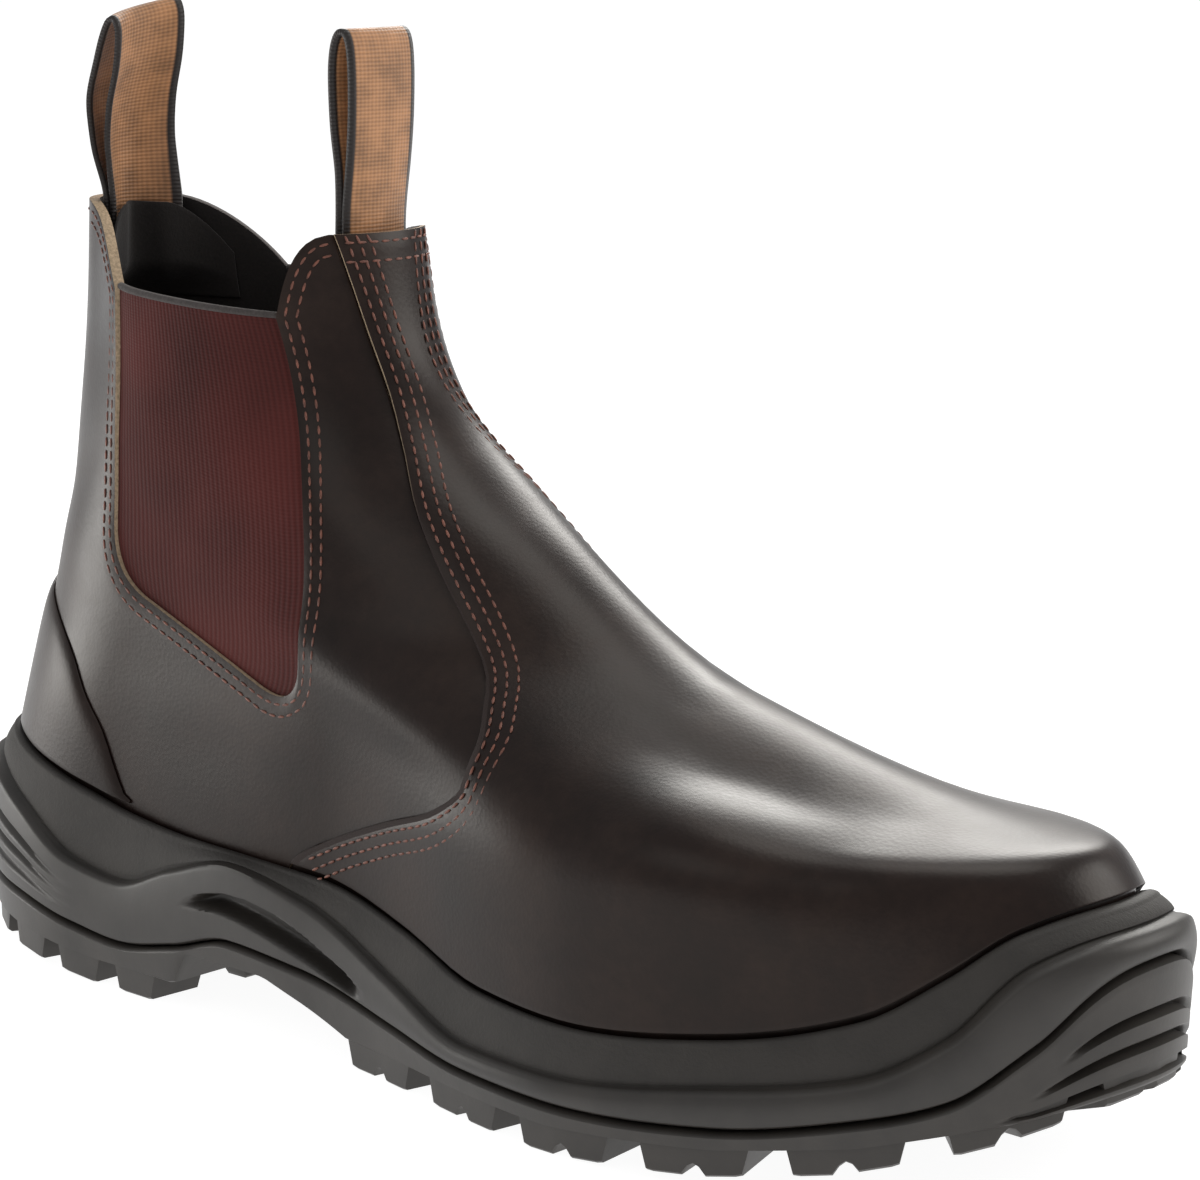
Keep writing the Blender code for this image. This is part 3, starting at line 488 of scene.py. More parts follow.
def quarter_patch(medial):
    """Share and angle grids of one side of the upper, round the gore from back line to vamp edge."""
    at_back = 1e-9
    down, forward = 13 * FINE, 10 * FINE
    inner = chain([shoulder(0, 4 * FINE + 1), *gore_sides(0.0), shoulder(1, 3 * FINE + 1)[::-1]])
    share = np.linspace(1, 0, 40)
    back = surface(share, np.full(40, at_back))[:, [0, 2]]
    edge = vamp_edge()
    reach = float(place(edge[0, 0], edge[0, 1])[1])
    foot = surface(np.zeros(forward + 1), np.linspace(at_back, reach, forward + 1))[:, [0, 2]]
    outer = chain([evenly(back, down + 1), foot, edge])
    t = (1 - np.linspace(1, 0, 5 * FINE + 1) ** 1.7)[:, None, None]
    mix = inner[None] * (1 - t) + outer[None] * t
    share, angle = place(mix[..., 0], mix[..., 1], medial)
    angle[-1, :down + 1] = 2 * math.pi if medial else 0.0
    share[-1, down:down + forward + 1] = 0.0
    return share, angle


def vamp_patch(low_share):
    """Share and angle grids across the front of the upper between its two vamp edges."""
    share, angle = place(*vamp_edge().T)
    if low_share > 0:
        first = np.interp(low_share, share, angle)
        keep = share > low_share
        share = np.concatenate([[low_share], share[keep]])
        angle = np.concatenate([[first], angle[keep]])
    t = np.linspace(0, 1, 26 * FINE + 1)
    t = np.sort(np.concatenate([t, [0.005, 0.012, 0.024, 0.976, 0.988, 0.995]]))[None]
    angle = angle[:, None] * (1 - t) + (2 * math.pi - angle[:, None]) * t
    return share[:, None] + 0 * t, angle


def counter_patch():
    """Share and angle grids of the heel counter from the rim up to its edge."""
    count = 97
    reach = float(place(COUNTER_EDGE["x"][-1], COUNTER_EDGE["z"][-1])[1])
    angle = np.linspace(-1, 1, count) * reach
    low, high = np.full(count, RIM_SHARE), np.full(count, 0.6)
    for _ in range(40):
        mid = (low + high) / 2
        p = surface(mid, angle)
        under = p[:, 2] < steady(COUNTER_EDGE["x"], COUNTER_EDGE["z"], p[:, 0])
        low = np.where(under, mid, low)
        high = np.where(under, high, mid)
    foot = RIM_SHARE + 0.006
    top = np.maximum(low, foot + 0.002)
    t = np.linspace(0, 1, 41)[:, None]
    return foot + (top[None] - foot) * t, angle[None] + 0 * t


def slide(share, angle, way, distance):
    """Share and angle after moving along the upper's face in a direction by a distance."""
    steps = max(1, math.ceil(abs(distance) / 1.2))
    for _ in range(steps):
        up, across, _normal = slopes(share, angle)
        uu, ua, aa = (np.sum(p * q, -1) for p, q in ((up, up), (up, across), (across, across)))
        u, a = (np.sum(p * way, -1) * distance / steps for p in (up, across))
        det = uu * aa - ua * ua
        share = np.clip(share + (u * aa - a * ua) / det, 0, 1)
        angle = angle + (a * uu - u * ua) / det
    return share, angle


def linear(code):
    """Linear colour of an sRGB hex value."""
    parts = [int(code[i:i + 2], 16) / 255 for i in (0, 2, 4)]
    return tuple(c / 12.92 if c <= 0.04045 else ((c + 0.055) / 1.055) ** 2.4 for c in parts)


def bend_grid(bm, points, toward, uv=None, marks=None):
    """Add a grid to a bmesh, bent to rows of points in millimetres and facing a direction."""
    rows, columns = points.shape[:2]
    made = bmesh.ops.create_grid(bm, x_segments=columns - 1, y_segments=rows - 1, size=0.5)["verts"]
    at = np.array([v.co[:2] for v in made]) + 0.5
    c = np.rint(at[:, 0] * (columns - 1)).astype(int)
    r = np.rint(at[:, 1] * (rows - 1)).astype(int)
    spots = {}
    for v, i, j in zip(made, r, c):
        v.co = Vector((points[i, j] + SHIFT) * MM)
        spots[v] = (i, j)
        if marks is not None:
            v[marks[0]] = float(marks[1][i, j])
    faces = list({f for v in made for f in v.link_faces})
    centre = spots[made[len(made) // 2]]
    sample = next(f for f in faces if any(spots[v] == centre for v in f.verts))
    sample.normal_update()
    if sample.normal.dot(Vector(toward)) < 0:
        bmesh.ops.reverse_faces(bm, faces=faces)
    if uv is not None:
        layer = bm.loops.layers.uv.get("Panel") or bm.loops.layers.uv.new("Panel")
        for f in faces:
            for loop in f.loops:
                loop[layer].uv = uv[spots[loop.vert]]
    return faces, spots


def finish_piece(name, bm, materials, nodes=(), angle=None):
    """Object of a finished bmesh, riding on the boot's one body."""
    mesh = bpy.data.meshes.new(name)
    bm.to_mesh(mesh)
    bm.free()
    for polygon in mesh.polygons:
        polygon.use_smooth = True
    if angle is not None:
        mesh.set_sharp_from_angle(angle=math.radians(angle))
    obj = bpy.data.objects.new(name, mesh)
    bpy.context.scene.collection.objects.link(obj)
    for material in materials:
        mesh.materials.append(material)
    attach(obj, "root")
    if nodes:
        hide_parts(*nodes)
    return obj


def weld(bm):
    """Join the points that meet and turn the faces outwards."""
    bmesh.ops.remove_doubles(bm, verts=bm.verts, dist=0.02 * MM)
    bmesh.ops.recalc_face_normals(bm, faces=bm.faces)


def give_wall(obj, thickness, inner=0, rim=0, edge=0.3):
    """Give a sheet its thickness inwards and soften the corners of its edge."""
    wall = obj.modifiers.new("Wall", "SOLIDIFY")
    wall.thickness = thickness * MM
    wall.offset = -1.0
    wall.use_even_offset = False
    wall.material_offset = inner
    wall.material_offset_rim = rim
    soft = obj.modifiers.new("Soft edge", "BEVEL")
    soft.width = edge * MM
    soft.segments = 2
    soft.limit_method = "ANGLE"
    soft.angle_limit = math.radians(55)
    soft.profile = 0.5
    soft.use_clamp_overlap = True


def wire(tree, value, socket):
    """Link an output to a socket, or set the socket to a plain value."""
    if isinstance(value, bpy.types.NodeSocket):
        tree.links.new(value, socket)
    else:
        socket.default_value = value


def node(tree, kind, inputs=None, **settings):
    """Add a shader node with its settings, values and links."""
    made = tree.nodes.new(kind)
    for name, value in settings.items():
        setattr(made, name, value)
    for name, value in (inputs or {}).items():
        wire(tree, value, made.inputs[name])
    return made


def ramp(tree, factor, stops):
    """Colour ramp over a factor."""
    made = node(tree, "ShaderNodeValToRGB", {"Fac": factor})
    elements = made.color_ramp.elements
    while len(elements) < len(stops):
        elements.new(0.5)
    for element, (position, colour) in zip(elements, stops):
        element.position = position
        element.color = (*colour, 1.0)
    return made.outputs["Color"]


def blend(tree, factor, first, second):
    """Colour between two by a factor."""
    return node(tree, "ShaderNodeMix", {0: factor, 6: first, 7: second}, data_type="RGBA").outputs[2]


def reckon(tree, operation, *values):
    """Result of a sum on outputs and plain values."""
    return node(tree, "ShaderNodeMath", dict(enumerate(values)), operation=operation).outputs[0]


def carry(tree, value, low, high, first=0.0, last=1.0):
    """Value carried over from one range to another."""
    inputs = {"Value": value, "From Min": low, "From Max": high, "To Min": first, "To Max": last}
    return node(tree, "ShaderNodeMapRange", inputs).outputs["Result"]


def noise(tree, at, size, detail, rough=0.5):
    """Cloudy noise with patches of a size in millimetres."""
    inputs = {"Vector": at, "Scale": 1 / size, "Detail": detail, "Roughness": rough}
    return node(tree, "ShaderNodeTexNoise", inputs).outputs["Fac"]


def cords(tree, panel, direction, pitch, distortion):
    """Even cords across a panel, at a pitch in millimetres."""
    inputs = {"Vector": panel, "Scale": WAVE_BAND / pitch, "Distortion": distortion}
    settings = {"wave_type": "BANDS", "bands_direction": direction, "wave_profile": "SIN"}
    return node(tree, "ShaderNodeTexWave", inputs, **settings).outputs["Fac"]


def bump(tree, height, strength, depth):
    """Normal bumped by a height, with its depth in millimetres."""
    inputs = {"Height": height, "Strength": strength, "Distance": depth * MM}
    return node(tree, "ShaderNodeBump", inputs).outputs["Normal"]


def new_material(name):
    """Material with a bare Principled shader, its tree and its Object coordinates in millimetres."""
    material = bpy.data.materials.new(name)
    material.use_nodes = True
    tree = material.node_tree
    shader = tree.nodes["Principled BSDF"]
    metres = node(tree, "ShaderNodeTexCoord").outputs["Object"]
    scaled = node(tree, "ShaderNodeMapping", {"Vector": metres, "Scale": (1000, 1000, 1000)})
    return material, tree, shader, scaled.outputs["Vector"]


def set_finish(shader, tree, colour, roughness, normal, **values):
    """Wire colour, roughness and bump and set the even values on the shader's own sockets."""
    for name, value in (("Base Color", colour), ("Roughness", roughness), ("Normal", normal)):
        wire(tree, value, shader.inputs[name])
    for name, value in values.items():
        shader.inputs[name.replace("_", " ")].default_value = value


def oiled_leather(name, tone, dark, light):
    """Full-grain leather, oiled and buffed: fine pebble, soft warm sheen, colour drifting over the hide."""
    material, tree, shader, at = new_material(name)
    drift = noise(tree, at, 26.0, 3.0, 0.55)
    fleck = noise(tree, at, 2.4, 3.0, 0.6)
    mixed = reckon(tree, "MULTIPLY_ADD", fleck, 0.22, reckon(tree, "MULTIPLY", drift, 0.78))
    colour = ramp(tree, mixed, [(0.3, dark), (0.5, tone), (0.72, light)])
    rough = carry(tree, mixed, 0.3, 0.7, 0.3, 0.41)
    # Pebble cells are about 0.9 mm across, hair pores about 0.35 mm.
    pebble = node(
        tree, "ShaderNodeTexVoronoi", {"Vector": at, "Scale": 1 / 0.9, "Randomness": 1.0}, feature="F1")
    pores = noise(tree, at, 0.35, 2.0)
    height = reckon(tree, "MULTIPLY_ADD", pores, 0.35, pebble.outputs["Distance"])
    set_finish(
        shader, tree, colour, rough, bump(tree, height, 0.16, 0.12),
        IOR=1.3, Specular_Tint=(1.0, 0.95, 0.9, 1.0), Coat_Weight=0.06, Coat_Roughness=0.26)
    return material


def raw_edge(name, pale, deep, darker_tone, axis, start, end):
    """Cut edge of the hide: matt uneven fibres, darker on one side of a place on an axis and raw past it."""
    material, tree, shader, at = new_material(name)
    fibre = noise(tree, at, 0.7, 4.0, 0.7)
    colour = ramp(tree, fibre, [(0.3, deep), (0.65, pale)])
    split = node(tree, "ShaderNodeSeparateXYZ", {"Vector": at})
    past = carry(tree, split.outputs[axis], start, end)
    colour = blend(tree, past, (*darker_tone, 1.0), colour)
    set_finish(shader, tree, colour, 0.8, bump(tree, fibre, 0.5, 0.2), IOR=1.45)
    return material


def lining_cloth(name, tone):
    """Brushed textile lining: dark, matt, with a short nap."""
    material, tree, shader, at = new_material(name)
    nap = noise(tree, at, 0.6, 4.0, 0.65)
    colour = ramp(tree, nap, [(0.3, tuple(c * 0.5 for c in tone)), (0.7, tone)])
    set_finish(shader, tree, colour, 0.95, bump(tree, nap, 0.5, 0.3), Sheen_Weight=0.1)
    return material


def woven_elastic(name, deep, tone, light):
    """Woven elastic: covered rubber cords stand as fine upright ribs with cross threads between."""
    material, tree, shader, at = new_material(name)
    panel = node(tree, "ShaderNodeUVMap", uv_map="Panel").outputs["UV"]
    # Ribs are 1.3 mm apart, a little coarser than the real ones so that they show; cross threads 0.7 mm.
    ribs = cords(tree, panel, "X", 1.3, 0.0)
    weft = cords(tree, panel, "Y", 0.7, 0.6)
    cloud = noise(tree, at, 30.0, 2.0)
    height = reckon(tree, "MULTIPLY_ADD", weft, 0.35, ribs)
    mixed = reckon(tree, "MULTIPLY_ADD", height, 0.18, cloud)
    colour = ramp(tree, mixed, [(0.35, deep), (0.62, tone), (0.9, light)])
    set_finish(
        shader, tree, colour, 0.8, bump(tree, height, 0.35, 0.3),
        IOR=1.3, Sheen_Weight=0.03, Sheen_Roughness=0.5)
    return material


def woven_tape(name, deep, tone, light, edge):
    """Woven polyester tape: fine cross ribs, a slight satin gloss and dark selvedges."""
    material, tree, shader, at = new_material(name)
    panel = node(tree, "ShaderNodeUVMap", uv_map="Panel").outputs["UV"]
    split = node(tree, "ShaderNodeSeparateXYZ", {"Vector": panel})
    weft = cords(tree, panel, "Y", 0.8, 0.4)
    warp = cords(tree, panel, "X", 1.0, 0.3)
    cloud = noise(tree, at, 6.0, 3.0)
    height = reckon(tree, "MULTIPLY_ADD", warp, 0.5, weft)
    mixed = reckon(tree, "MULTIPLY_ADD", height, 0.25, cloud)
    body = ramp(tree, mixed, [(0.45, deep), (0.7, tone), (0.95, light)])
    away = reckon(tree, "ABSOLUTE", split.outputs["X"])
    # The selvedge is dark for 1.1 mm and fades over the next 0.4 mm.
    border = carry(tree, away, TAPE_WIDTH / 2 - 1.5, TAPE_WIDTH / 2 - 1.1)
    colour = blend(tree, border, body, (*edge, 1.0))
    set_finish(
        shader, tree, colour, 0.55, bump(tree, height, 0.4, 0.2),
        Sheen_Weight=0.2, Sheen_Roughness=0.4)
    return material


def sewing_thread(name, deep, tone):
    """Waxed nylon thread: a fine twist with a low shine."""
    material, tree, shader, at = new_material(name)
    twist = noise(tree, at, 1.2, 2.0)
    colour = ramp(tree, twist, [(0.35, deep), (0.65, tone)])
    set_finish(shader, tree, colour, 0.5, bump(tree, twist, 0.3, 0.1))
    return material


def moulded_sole(name, deep, tone, light, grain):
    """Moulded sole stuff: satin where the mould was polished, stippled where it was grained."""
    material, tree, shader, at = new_material(name)
    band = node(tree, "ShaderNodeAttribute", attribute_name="grained").outputs["Fac"]
    colour = ramp(tree, noise(tree, at, 14.0, 4.0, 0.6), [(0.3, deep), (0.55, tone), (0.8, light)])
    # Stipple of the grained band is about 0.8 mm, the polished mould's bloom about 3 mm.
    stipple = noise(tree, at, 0.8, 3.0, 0.7)
    bloom = noise(tree, at, 3.0, 2.0)
    share = reckon(tree, "MULTIPLY_ADD", band, grain, 0.12)
    rise = reckon(tree, "MULTIPLY", stipple, share)
    height = reckon(tree, "MULTIPLY_ADD", bloom, 0.2, rise)
    rough = carry(tree, band, 0.0, 1.0, 0.46, 0.7)
    set_finish(shader, tree, colour, rough, bump(tree, height, 0.45, 0.4), IOR=1.5)
    return material


def paper_floor(name, tone):
    """Matt white studio paper, with a glow of its own so that it stays pale."""
    material, tree, shader, at = new_material(name)
    fibre = noise(tree, at, 40.0, 3.0)
    colour = ramp(tree, fibre, [(0.3, tuple(c * 0.985 for c in tone)), (0.7, tone)])
    set_finish(
        shader, tree, colour, 0.95, bump(tree, fibre, 0.02, 0.2),
        Emission_Color=(1.0, 1.0, 1.0, 1.0), Emission_Strength=0.94, Specular_IOR_Level=0.0)
    return material


def colour_prop(title, words, code):
    """Colour setting from an sRGB hex value."""
    return bpy.props.FloatVectorProperty(
        name=title, description=words, subtype="COLOR", size=3, min=0.0, max=1.0, default=linear(code))


def size_prop(title, words, size):
    """Length setting from a size in millimetres."""
    return bpy.props.FloatProperty(
        name=title, description=words, default=size * MM, unit="LENGTH", precision=4)


class BootColours(bpy.types.PropertyGroup):
    """Colours of the boot's finishes."""

    leather: colour_prop("Leather", "Main tone of the oiled leather", "201613")
    leather_dark: colour_prop("Leather, dark", "Darkest tone of the leather", "160f0d")
    leather_light: colour_prop("Leather, light", "Lightest tone of the leather", "2d211c")
    edge: colour_prop("Raw edge", "Cut edge of the leather", "c2aa8c")
    lining: colour_prop("Lining", "Brushed lining", "1f1a18")
    elastic: colour_prop("Elastic", "Woven elastic of the gores", "4a1f1c")
    tape: colour_prop("Tape", "Woven tape of the pull loops", "a5764f")
    thread: colour_prop("Thread", "Sewing thread", "804e3e")
    sole: colour_prop("Sole", "Moulded sole", "35312d")


class BootSizes(bpy.types.PropertyGroup):
    """Sizes of the boot's sewn and cut detail."""

    wall: size_prop("Wall", "Thickness of leather and lining", LEATHER)
    tape: size_prop("Tape", "Thickness of the pull tape", 1.2)
    pitch: size_prop("Stitch pitch", "Distance from stitch to stitch", 2.7)
    thread: size_prop("Thread", "Half width of a stitch", 0.3)


MATERIALS = {}


def materials():
    """The boot's materials by a short key, made once."""
    if MATERIALS:
        return MATERIALS
    c = {key: tuple(getattr(bpy.context.scene.boot_colours, key)) for key in BootColours.__annotations__}

    def shades(key, *shares):
        return [tuple(v * share for v in c[key]) for share in shares]

    hide = (c["leather"], c["leather_dark"], c["leather_light"])
    cut = (*shades("edge", 1.0, 0.45), *shades("leather", 1.5))
    MATERIALS.update(
        leather=oiled_leather("Oiled full-grain leather", *hide),
        # Cut edges take the darker tone on the medial side past 8 mm from the middle, and stay raw from 2 mm
        # on across the lateral side.
        edge=raw_edge("Cut leather edge", *cut, "Y", 8.0, 2.0),
        burnished=raw_edge("Burnished leather edge", *cut, "Z", 108.0, 138.0),
        lining=lining_cloth("Brushed textile lining", c["lining"]),
        elastic=woven_elastic("Woven elastic", *shades("elastic", 0.55, 1.0, 1.35)),
        binding=lining_cloth("Knitted binding", linear("4a4442")),
        tape=woven_tape("Woven polyester tape", *shades("tape", 0.6, 1.0, 1.35), linear("1f1714")),
        thread=sewing_thread("Waxed nylon thread", *shades("thread", 0.5, 1.0)),
        midsole=moulded_sole("Moulded polyurethane", *shades("sole", 0.62, 0.85, 1.0), 0.75),
        outsole=moulded_sole("Moulded rubber", *shades("sole", 0.7, 1.0, 1.3), 0.3),
        felt=lining_cloth("Felted footbed", linear("2c2a2a")),
    )
    return MATERIALS


class BOOT_OT_upper(bpy.types.Operator):
    """Sew the quarters: hollow leather wall with its lining and raw edges."""

    bl_idname = "boot.upper"
    bl_label = "Upper"

    def execute(self, context):
        look = materials()
        bm = bmesh.new()
        share, angle = vamp_patch(0.0)
        under_vamp = -0.4 * np.clip((share - 0.02) / 0.05, 0, 1)
        bend_grid(bm, upper_at(share, angle, under_vamp), (1, 0, 1))
        for _side, medial, outward in SIDES:
            share, angle = quarter_patch(medial)
            points = upper_at(share, angle, 0.0)
            lift = relief(points) * np.clip((1 - share) / 0.1, 0, 1)
            bend_grid(bm, upper_at(share, angle, lift), (0, outward, 0))
        bmesh.ops.remove_doubles(bm, verts=bm.verts, dist=0.25 * MM)
        layers = [look["leather"], look["lining"], look["edge"]]
        obj = finish_piece("quarters", bm, layers, ["upper"])
        give_wall(obj, context.scene.boot_sizes.wall / MM, 1, 2)
        return {"FINISHED"}


class BOOT_OT_vamp(bpy.types.Operator):
    """Lay the vamp over the quarters, skived thin at its edge."""

    bl_idname = "boot.vamp"
    bl_label = "Vamp"

    def execute(self, context):
        look = materials()
        bm = bmesh.new()
        share, angle = vamp_patch(RIM_SHARE + 0.004)
        points = upper_at(share, angle, 0.0)
        run = np.linalg.norm(np.diff(points, axis=1), axis=2)
        run = np.concatenate([np.zeros((len(run), 1)), np.cumsum(run, axis=1)], axis=1)
        edge = np.minimum(run, run[:, -1:] - run)
        skived = 0.45 * np.exp(-edge / 2.0)
        lift = OVERLAY - skived + relief(points) * np.clip(edge / 8, 0, 1)
        faces, spots = bend_grid(bm, upper_at(share, angle, lift), (1, 0, 1))
        last = points.shape[1] - 1
        for f in faces:
            columns = [spots[v][1] for v in f.verts]
            if max(columns) == 1 or min(columns) == last - 1:
                f.material_index = 1
        obj = finish_piece("vamp_leather", bm, [look["leather"], look["burnished"]], ["vamp"])
        give_wall(obj, SHEET, 0, 1, 0.25)
        return {"FINISHED"}


class BOOT_OT_counter(bpy.types.Operator):
    """Lay the heel counter, skived to a fine edge."""

    bl_idname = "boot.counter"
    bl_label = "Heel counter"

    def execute(self, context):
        look = materials()
        bm = bmesh.new()
        share, angle = counter_patch()
        points = upper_at(share, angle, 0.0)
        fall = np.linalg.norm(points - points[-1:], axis=2)
        skived = 1.15 * np.exp(-fall / 2.5)
        lift = OVERLAY - skived + 0.5 * relief(points)
        bend_grid(bm, upper_at(share, angle, lift), (-1, 0, 0))
        obj = finish_piece("counter_leather", bm, [look["leather"]] * 2, ["heel_counter"])
        give_wall(obj, SHEET, 0, 1, 0.2)
        return {"FINISHED"}


class BOOT_OT_gores(bpy.types.Operator):
    """Set the elastic gores into the quarters and bind their tops."""

    bl_idname = "boot.gores"
    bl_label = "Elastic gores"

    def execute(self, context):
        look = materials()
        sunk = 0.95
        wide, tall = 56.0, 74.0
        columns, lines = 57, 49
        rear, low, front = gore_sides(-0.6)
        cut = 2 * FINE
        left = evenly(rear[:len(rear) - cut][::-1], lines)
        foot = evenly(chain([rear[len(rear) - cut - 1:], low[:len(low) - cut]]), columns)
        right = evenly(chain([low[len(low) - cut - 1:], front]), lines)
        top = evenly([left[-1], right[-1]], columns)
        u = np.linspace(0, 1, columns)[None, :, None]
        v = np.linspace(0, 1, lines)[:, None, None]
        patch = (1 - v) * foot[None] + v * top[None] + (1 - u) * left[:, None] + u * right[:, None]
        patch -= (1 - u) * (1 - v) * foot[0] + u * (1 - v) * foot[-1]
        patch -= (1 - u) * v * top[0] + u * v * top[-1]
        uv = np.concatenate([u * wide + 0 * v, v * tall + 0 * u], axis=2)
        for side, medial, outward in SIDES:
            share, angle = place(patch[..., 0], patch[..., 1], medial)
            bm = bmesh.new()
            bend_grid(bm, upper_at(share, angle, -sunk), (0, outward, 0), uv)
            name = "gore_" + side
            obj = finish_piece(name + "_elastic", bm, [look["elastic"]], [name])
            give_wall(obj, SHEET, 0, 0, 0.2)
            self.bind(share[-1], angle[-1], side, look["binding"])
        return {"FINISHED"}

    def bind(self, share, angle, side, material):
        """Roll a thin binding over the top edge of a gore."""
        thick, tall = 0.95, 0.8
        spine = upper_at(share, angle, -1.5)
        normal = slopes(share, angle)[2]
        rows = []
        for turn in np.linspace(0, 2 * math.pi, 11):
            rows.append(spine + normal * thick * math.cos(turn) + np.array([0, 0, tall * math.sin(turn)]))
        bm = bmesh.new()
        bend_grid(bm, np.array(rows), tuple(-normal[len(normal) // 2]))
        bmesh.ops.remove_doubles(bm, verts=bm.verts, dist=0.02 * MM)
        bmesh.ops.holes_fill(bm, edges=[e for e in bm.edges if e.is_boundary])
        bmesh.ops.recalc_face_normals(bm, faces=bm.faces)
        finish_piece("gore_binding_" + side, bm, [material])


class BOOT_OT_loops(bpy.types.Operator):
    """Fold the pull tapes and hang them inside the collar, with a lining patch over their legs."""

    bl_idname = "boot.loops"
    bl_label = "Pull loops"

    def execute(self, context):
        look = materials()
        for at_front, path, name in ((0, LOOP_BACK, "pull_loop_back"), (1, LOOP_FRONT, "pull_loop_front")):
            points, uv = self.tape(path, at_front)
            bm = bmesh.new()
            bend_grid(bm, points, (0, 0, 1), uv)
            obj = finish_piece(name + "_tape", bm, [look["tape"]], [name])
            wall = obj.modifiers.new("Wall", "SOLIDIFY")
            wall.thickness = context.scene.boot_sizes.tape
            wall.offset = 0.0
            self.patch(at_front, look["lining"])
        return {"FINISHED"}

    def tape(self, path, at_front):
        """Points of the folded tape and their place on it in millimetres."""
        count = 121
        angle = math.pi * at_front + np.linspace(-0.9, 0.9, count)
        wall = upper_at(np.ones(count), angle, -LEATHER - 1.45)
        order = np.argsort(wall[:, 1])
        across = np.linspace(-TAPE_WIDTH / 2, TAPE_WIDTH / 2, 17)
        middle = float(wall[count // 2, 1]) + LOOP_SEAT["off"][at_front]
        wall_x = np.interp(across + middle, wall[order, 1], wall[order, 0])
        mid_x = float(np.interp(middle, wall[order, 1], wall[order, 0]))
        knots = travel(np.column_stack([path["inward"], path["height"]]))
        at = np.linspace(0, knots[-1], count)
        smooth = np.linspace(-1, 1, 9)
        weight = (1 - smooth ** 2) / np.sum(1 - smooth ** 2)
        reach, rise = (np.convolve(np.pad(steady(knots, path[k], at), 4, "edge"), weight, "valid")
                       for k in ("inward", "height"))
        # The tape follows the wall at its legs, then flattens, curls a little and leans with its height.
        follow, free, lean = (np.clip(v, 0, 1)[:, None] for v in (1 - rise / 60.0, rise / 12.0, rise / 40.0))
        inward = -1.0 if at_front else 1.0
        curl = 0.5 * np.sin(at / 9.0 + 1.0)[:, None] * (across / 9.0)[None] ** 2 * free
        x = mid_x + inward * (reach[:, None] + curl) + (wall_x - mid_x)[None] * follow
        z = float(collar_z(mid_x)) + rise[:, None] + LOOP_SEAT["tilt"][at_front] * across[None] * lean
        y = across[None] + middle + 0 * x
        uv = np.stack([across[None] + 0 * x, at[:, None] + 0 * x], -1)
        return np.stack([x, y, z], -1), uv

    def patch(self, at_front, material):
        """Lining sewn over the legs of a loop."""
        u = np.linspace(-1, 1, 33)[None]
        v = np.linspace(0, 1, 21)[:, None]
        end = ("back", "front")[at_front]
        inward = (1, -1)[at_front]
        reach, level = ((0.98, 0.6), (0.58, 0.4))[at_front]
        beyond = np.clip((np.abs(u) * reach - level) / (reach - level), 0, 1)
        share = 0.9 + (0.097 - 0.05 * beyond ** 2) * v
        angle = math.pi * at_front + reach * u + 0 * v
        over_tape = 5.6 * ease(np.clip((1 - np.abs(u)) / 0.46, 0, 1) * np.clip(v / 0.4, 0, 1))
        bm = bmesh.new()
        bend_grid(bm, upper_at(share, angle, -LEATHER - 0.1 - over_tape), (inward, 0, 0))
        obj = finish_piece("lining_patch_" + end, bm, [material])
        give_wall(obj, -0.5, 0, 0, 0.1)


def ring_rows(angle, rows):
    """Rows of points round the sole from distances out and heights, on the centre line where out is None."""
    points = []
    for out, height in rows:
        if out is None:
            points.append(middle_row(rim_x(angle), height))
        else:
            points.append(np.column_stack([outline(angle, out + 0 * angle), height]))
    return np.array(points)


